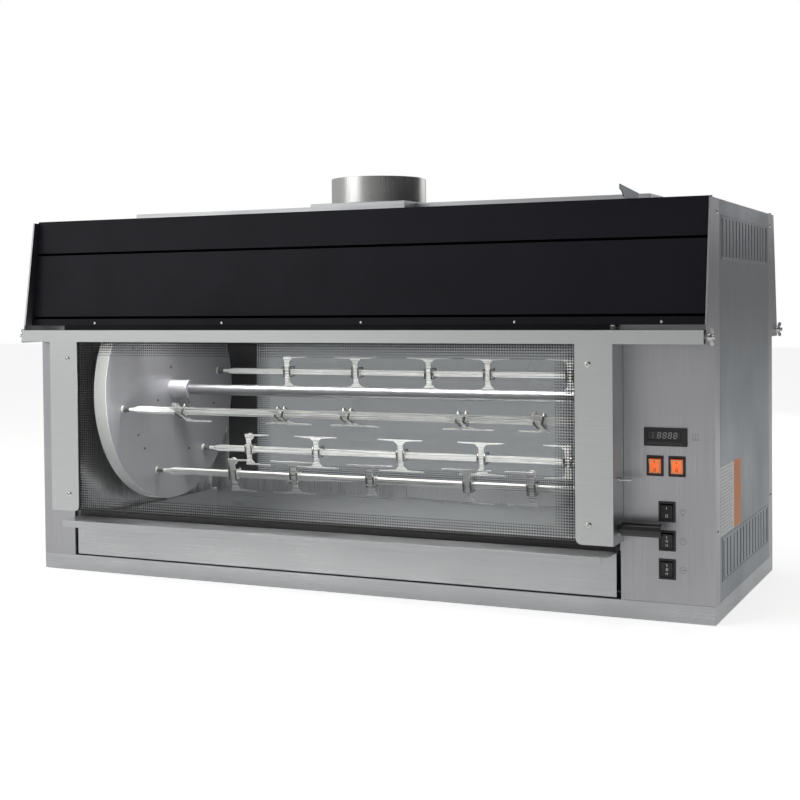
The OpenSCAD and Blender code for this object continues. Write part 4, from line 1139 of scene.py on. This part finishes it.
verts, faces = [], []
for out in (-1, 1):
    for groove in GROOVES:
        n = len(verts)
        for z in (groove + 0.3, groove + 4.7):
            for sunk in (1.25, 0.75):
                verts += [(x, out * (hood_face(z) - sunk) * MM, z * MM)
                          for x in (hood_low.x + 2 * MM, hood_high.x - 2 * MM)]
        faces += [tuple(n + i for i in f) for f in BOX_FACES]
settle(mesh_object("groove_shade_strips", verts, faces, finish["groove_shade_black"]),
       "casing", smooth=False)
lip_rivets = [(x * MM, -hood_face(RIVET_Z) * MM, RIVET_Z * MM) for x in (-560, -250, 60, 370, 640)]
turned("lip_rivets", [(2.6, -0.5, 0), (2.6, 0.3, 0), (2.0, 0.9, 0), (0.3, 1.2, 0)], (0, -1, 0), lip_rivets,
       "fasteners", "casing", 12)
print("4 groove liners and", len(lip_rivets), "lip rivets")

# %% [markdown]
# ## Spring clips on the forks
# Two dark spring loops hold each fork on its spit. A loop is a square ring of flat wire. Geometry
# Nodes put one on each given point, turned with the spit's forks, so all the loops of a spit are one
# mesh that rides on that spit's body.

# %% A tree of spring clips
finish["clip_steel"] = steel("clip_steel", (0.16, 0.155, 0.15), 0.30, "none", 0.1)
clips = Tree("spring clips", [
    ("Geometry", "NodeSocketGeometry", None), ("Half width", "NodeSocketFloat", 0.0112),
    ("Wire", "NodeSocketFloat", 0.0016), ("Band", "NodeSocketFloat", 0.0042),
    ("Tilt", "NodeSocketFloat", 0.0)])
full_width = clips.math("MULTIPLY", clips.given("Half width"), 2.0)
square = clips.add("GeometryNodeCurvePrimitiveQuadrilateral", {
    "Width": full_width, "Height": full_width}).outputs[0]
wire = clips.add("GeometryNodeCurvePrimitiveQuadrilateral", {
    "Width": clips.given("Wire"), "Height": clips.given("Band")}).outputs[0]
loop = clips.add("GeometryNodeCurveToMesh", {"Curve": square, "Profile Curve": wire}).outputs[0]
stood = clips.add("GeometryNodeTransform", {"Geometry": loop, "Rotation": (0, math.pi / 2, 0)}).outputs[0]
tilt = clips.add("ShaderNodeCombineXYZ", {0: clips.given("Tilt")}).outputs[0]
looped = clips.add("GeometryNodeInstanceOnPoints", {
    "Points": clips.given("Geometry"), "Instance": stood, "Rotation": tilt}).outputs[0]
clips.close(looped, "clip_steel")
print("clip tree:", len(clips.group.nodes), "nodes")

# %% [markdown]
# The forks of each spit are turned by some angle and spaced along it. The clips have to match, so
# both are measured on the CAD model: the corners of the fork legs lie at a known distance from the
# spit's axis, and that finds them.

# %% Clips on the six spits
LEG_CORNER, NEAR = 14.14 * MM, 0.2 * MM


def clip_places(node, axis):
    """Where the fork legs are along a spit, and how far they are turned, from their outer corners."""
    corners = [v.co for v in nodes[node].data.vertices
               if abs(math.hypot(v.co.y - axis.y, v.co.z - axis.z) - LEG_CORNER) < NEAR]
    edges = sorted({round(c.x, 4) for c in corners})
    turned_by = math.atan2(corners[0].z - axis.z, corners[0].y - axis.y) - math.pi / 4
    return [(a + b) / 2 for a, b in zip(edges[::2], edges[1::2])], turned_by


for k in range(1, 7):
    axis = middle_of(f"spit_{k}")
    along, turned_by = clip_places(f"forks_{k}", axis)
    grow(clips, f"spring_clips_{k}", {"Tilt": turned_by}, f"spit_body_{k}",
         mesh_object("points", [(x, axis.y, axis.z) for x in along], []))
    print("clips at", len(along), "places, turned", round(math.degrees(turned_by), 1))

# %% [markdown]
# ## Fittings on the rotor
# The dished disc has a few rivets, a clamp screw in its hub, and a dark socket where each spit's
# thin neck goes in. The sockets turn with their spits, so each one rides on its own spit's body.

# %% Rivets, hub screw and spit sockets
finish["dark_steel"] = steel("dark_steel", (0.13, 0.125, 0.12), 0.4, "none", 0.2)
FACE_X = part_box("left_disc")[1].x - 48 * MM  # the flat of the left disc, behind its hub
HUB_SCREW_IN = 39 * MM  # how far from the flat the clamp screw sits on the hub
RIVET = [(3.2, -0.3, 0), (3.2, 0.4, 0), (2.5, 1.1, 0), (1.2, 1.5, 0), (0.2, 1.6, 0)]
rivet_places = [(FACE_X, y * MM, z * MM) for y, z in (
    (-8, 422), (-60, 350), (167, 328), (-135, 278), (-112, 247), (-150, 470), (110, 520), (60, 230))]
turned("disc_rivets", RIVET, (1, 0, 0), rivet_places, "dark_steel", "rotor", 12)
turned("hub_screw", [(2.5, 18, 0), (2.5, 27, 0), (4.6, 27.1, 6), (4.6, 32.5, 6), (3.8, 33, 6)], (0, 0, -1),
       [(FACE_X + HUB_SCREW_IN, 0, HUB_Z)], "dark_steel", "rotor")
turned("right_hub_collar", [(12.2, 0, 0), (18, 0.2, 0), (18, 11, 0), (17, 12, 0), (12.2, 12, 0)], (-1, 0, 0),
       [(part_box("right_disc")[0].x - 1 * MM, 0, HUB_Z)], "dark_steel", "rotor", 32)
SOCKET = [(3.6, 0.5, 0), (7.6, 0.6, 0), (7.8, 2.2, 0), (6.4, 3.4, 0), (5.6, 6.5, 0), (6.2, 9.5, 0),
          (5.6, 12.5, 0), (3.7, 14, 0)]
for k in range(1, 7):
    axis = middle_of(f"spit_{k}")
    turned(f"spit_socket_{k}", SOCKET, (1, 0, 0), [(FACE_X + 3 * MM, axis.y, axis.z)],
           "dark_steel", f"spit_body_{k}")
print(len(rivet_places), "rivets, a hub screw, a collar and 6 sockets")
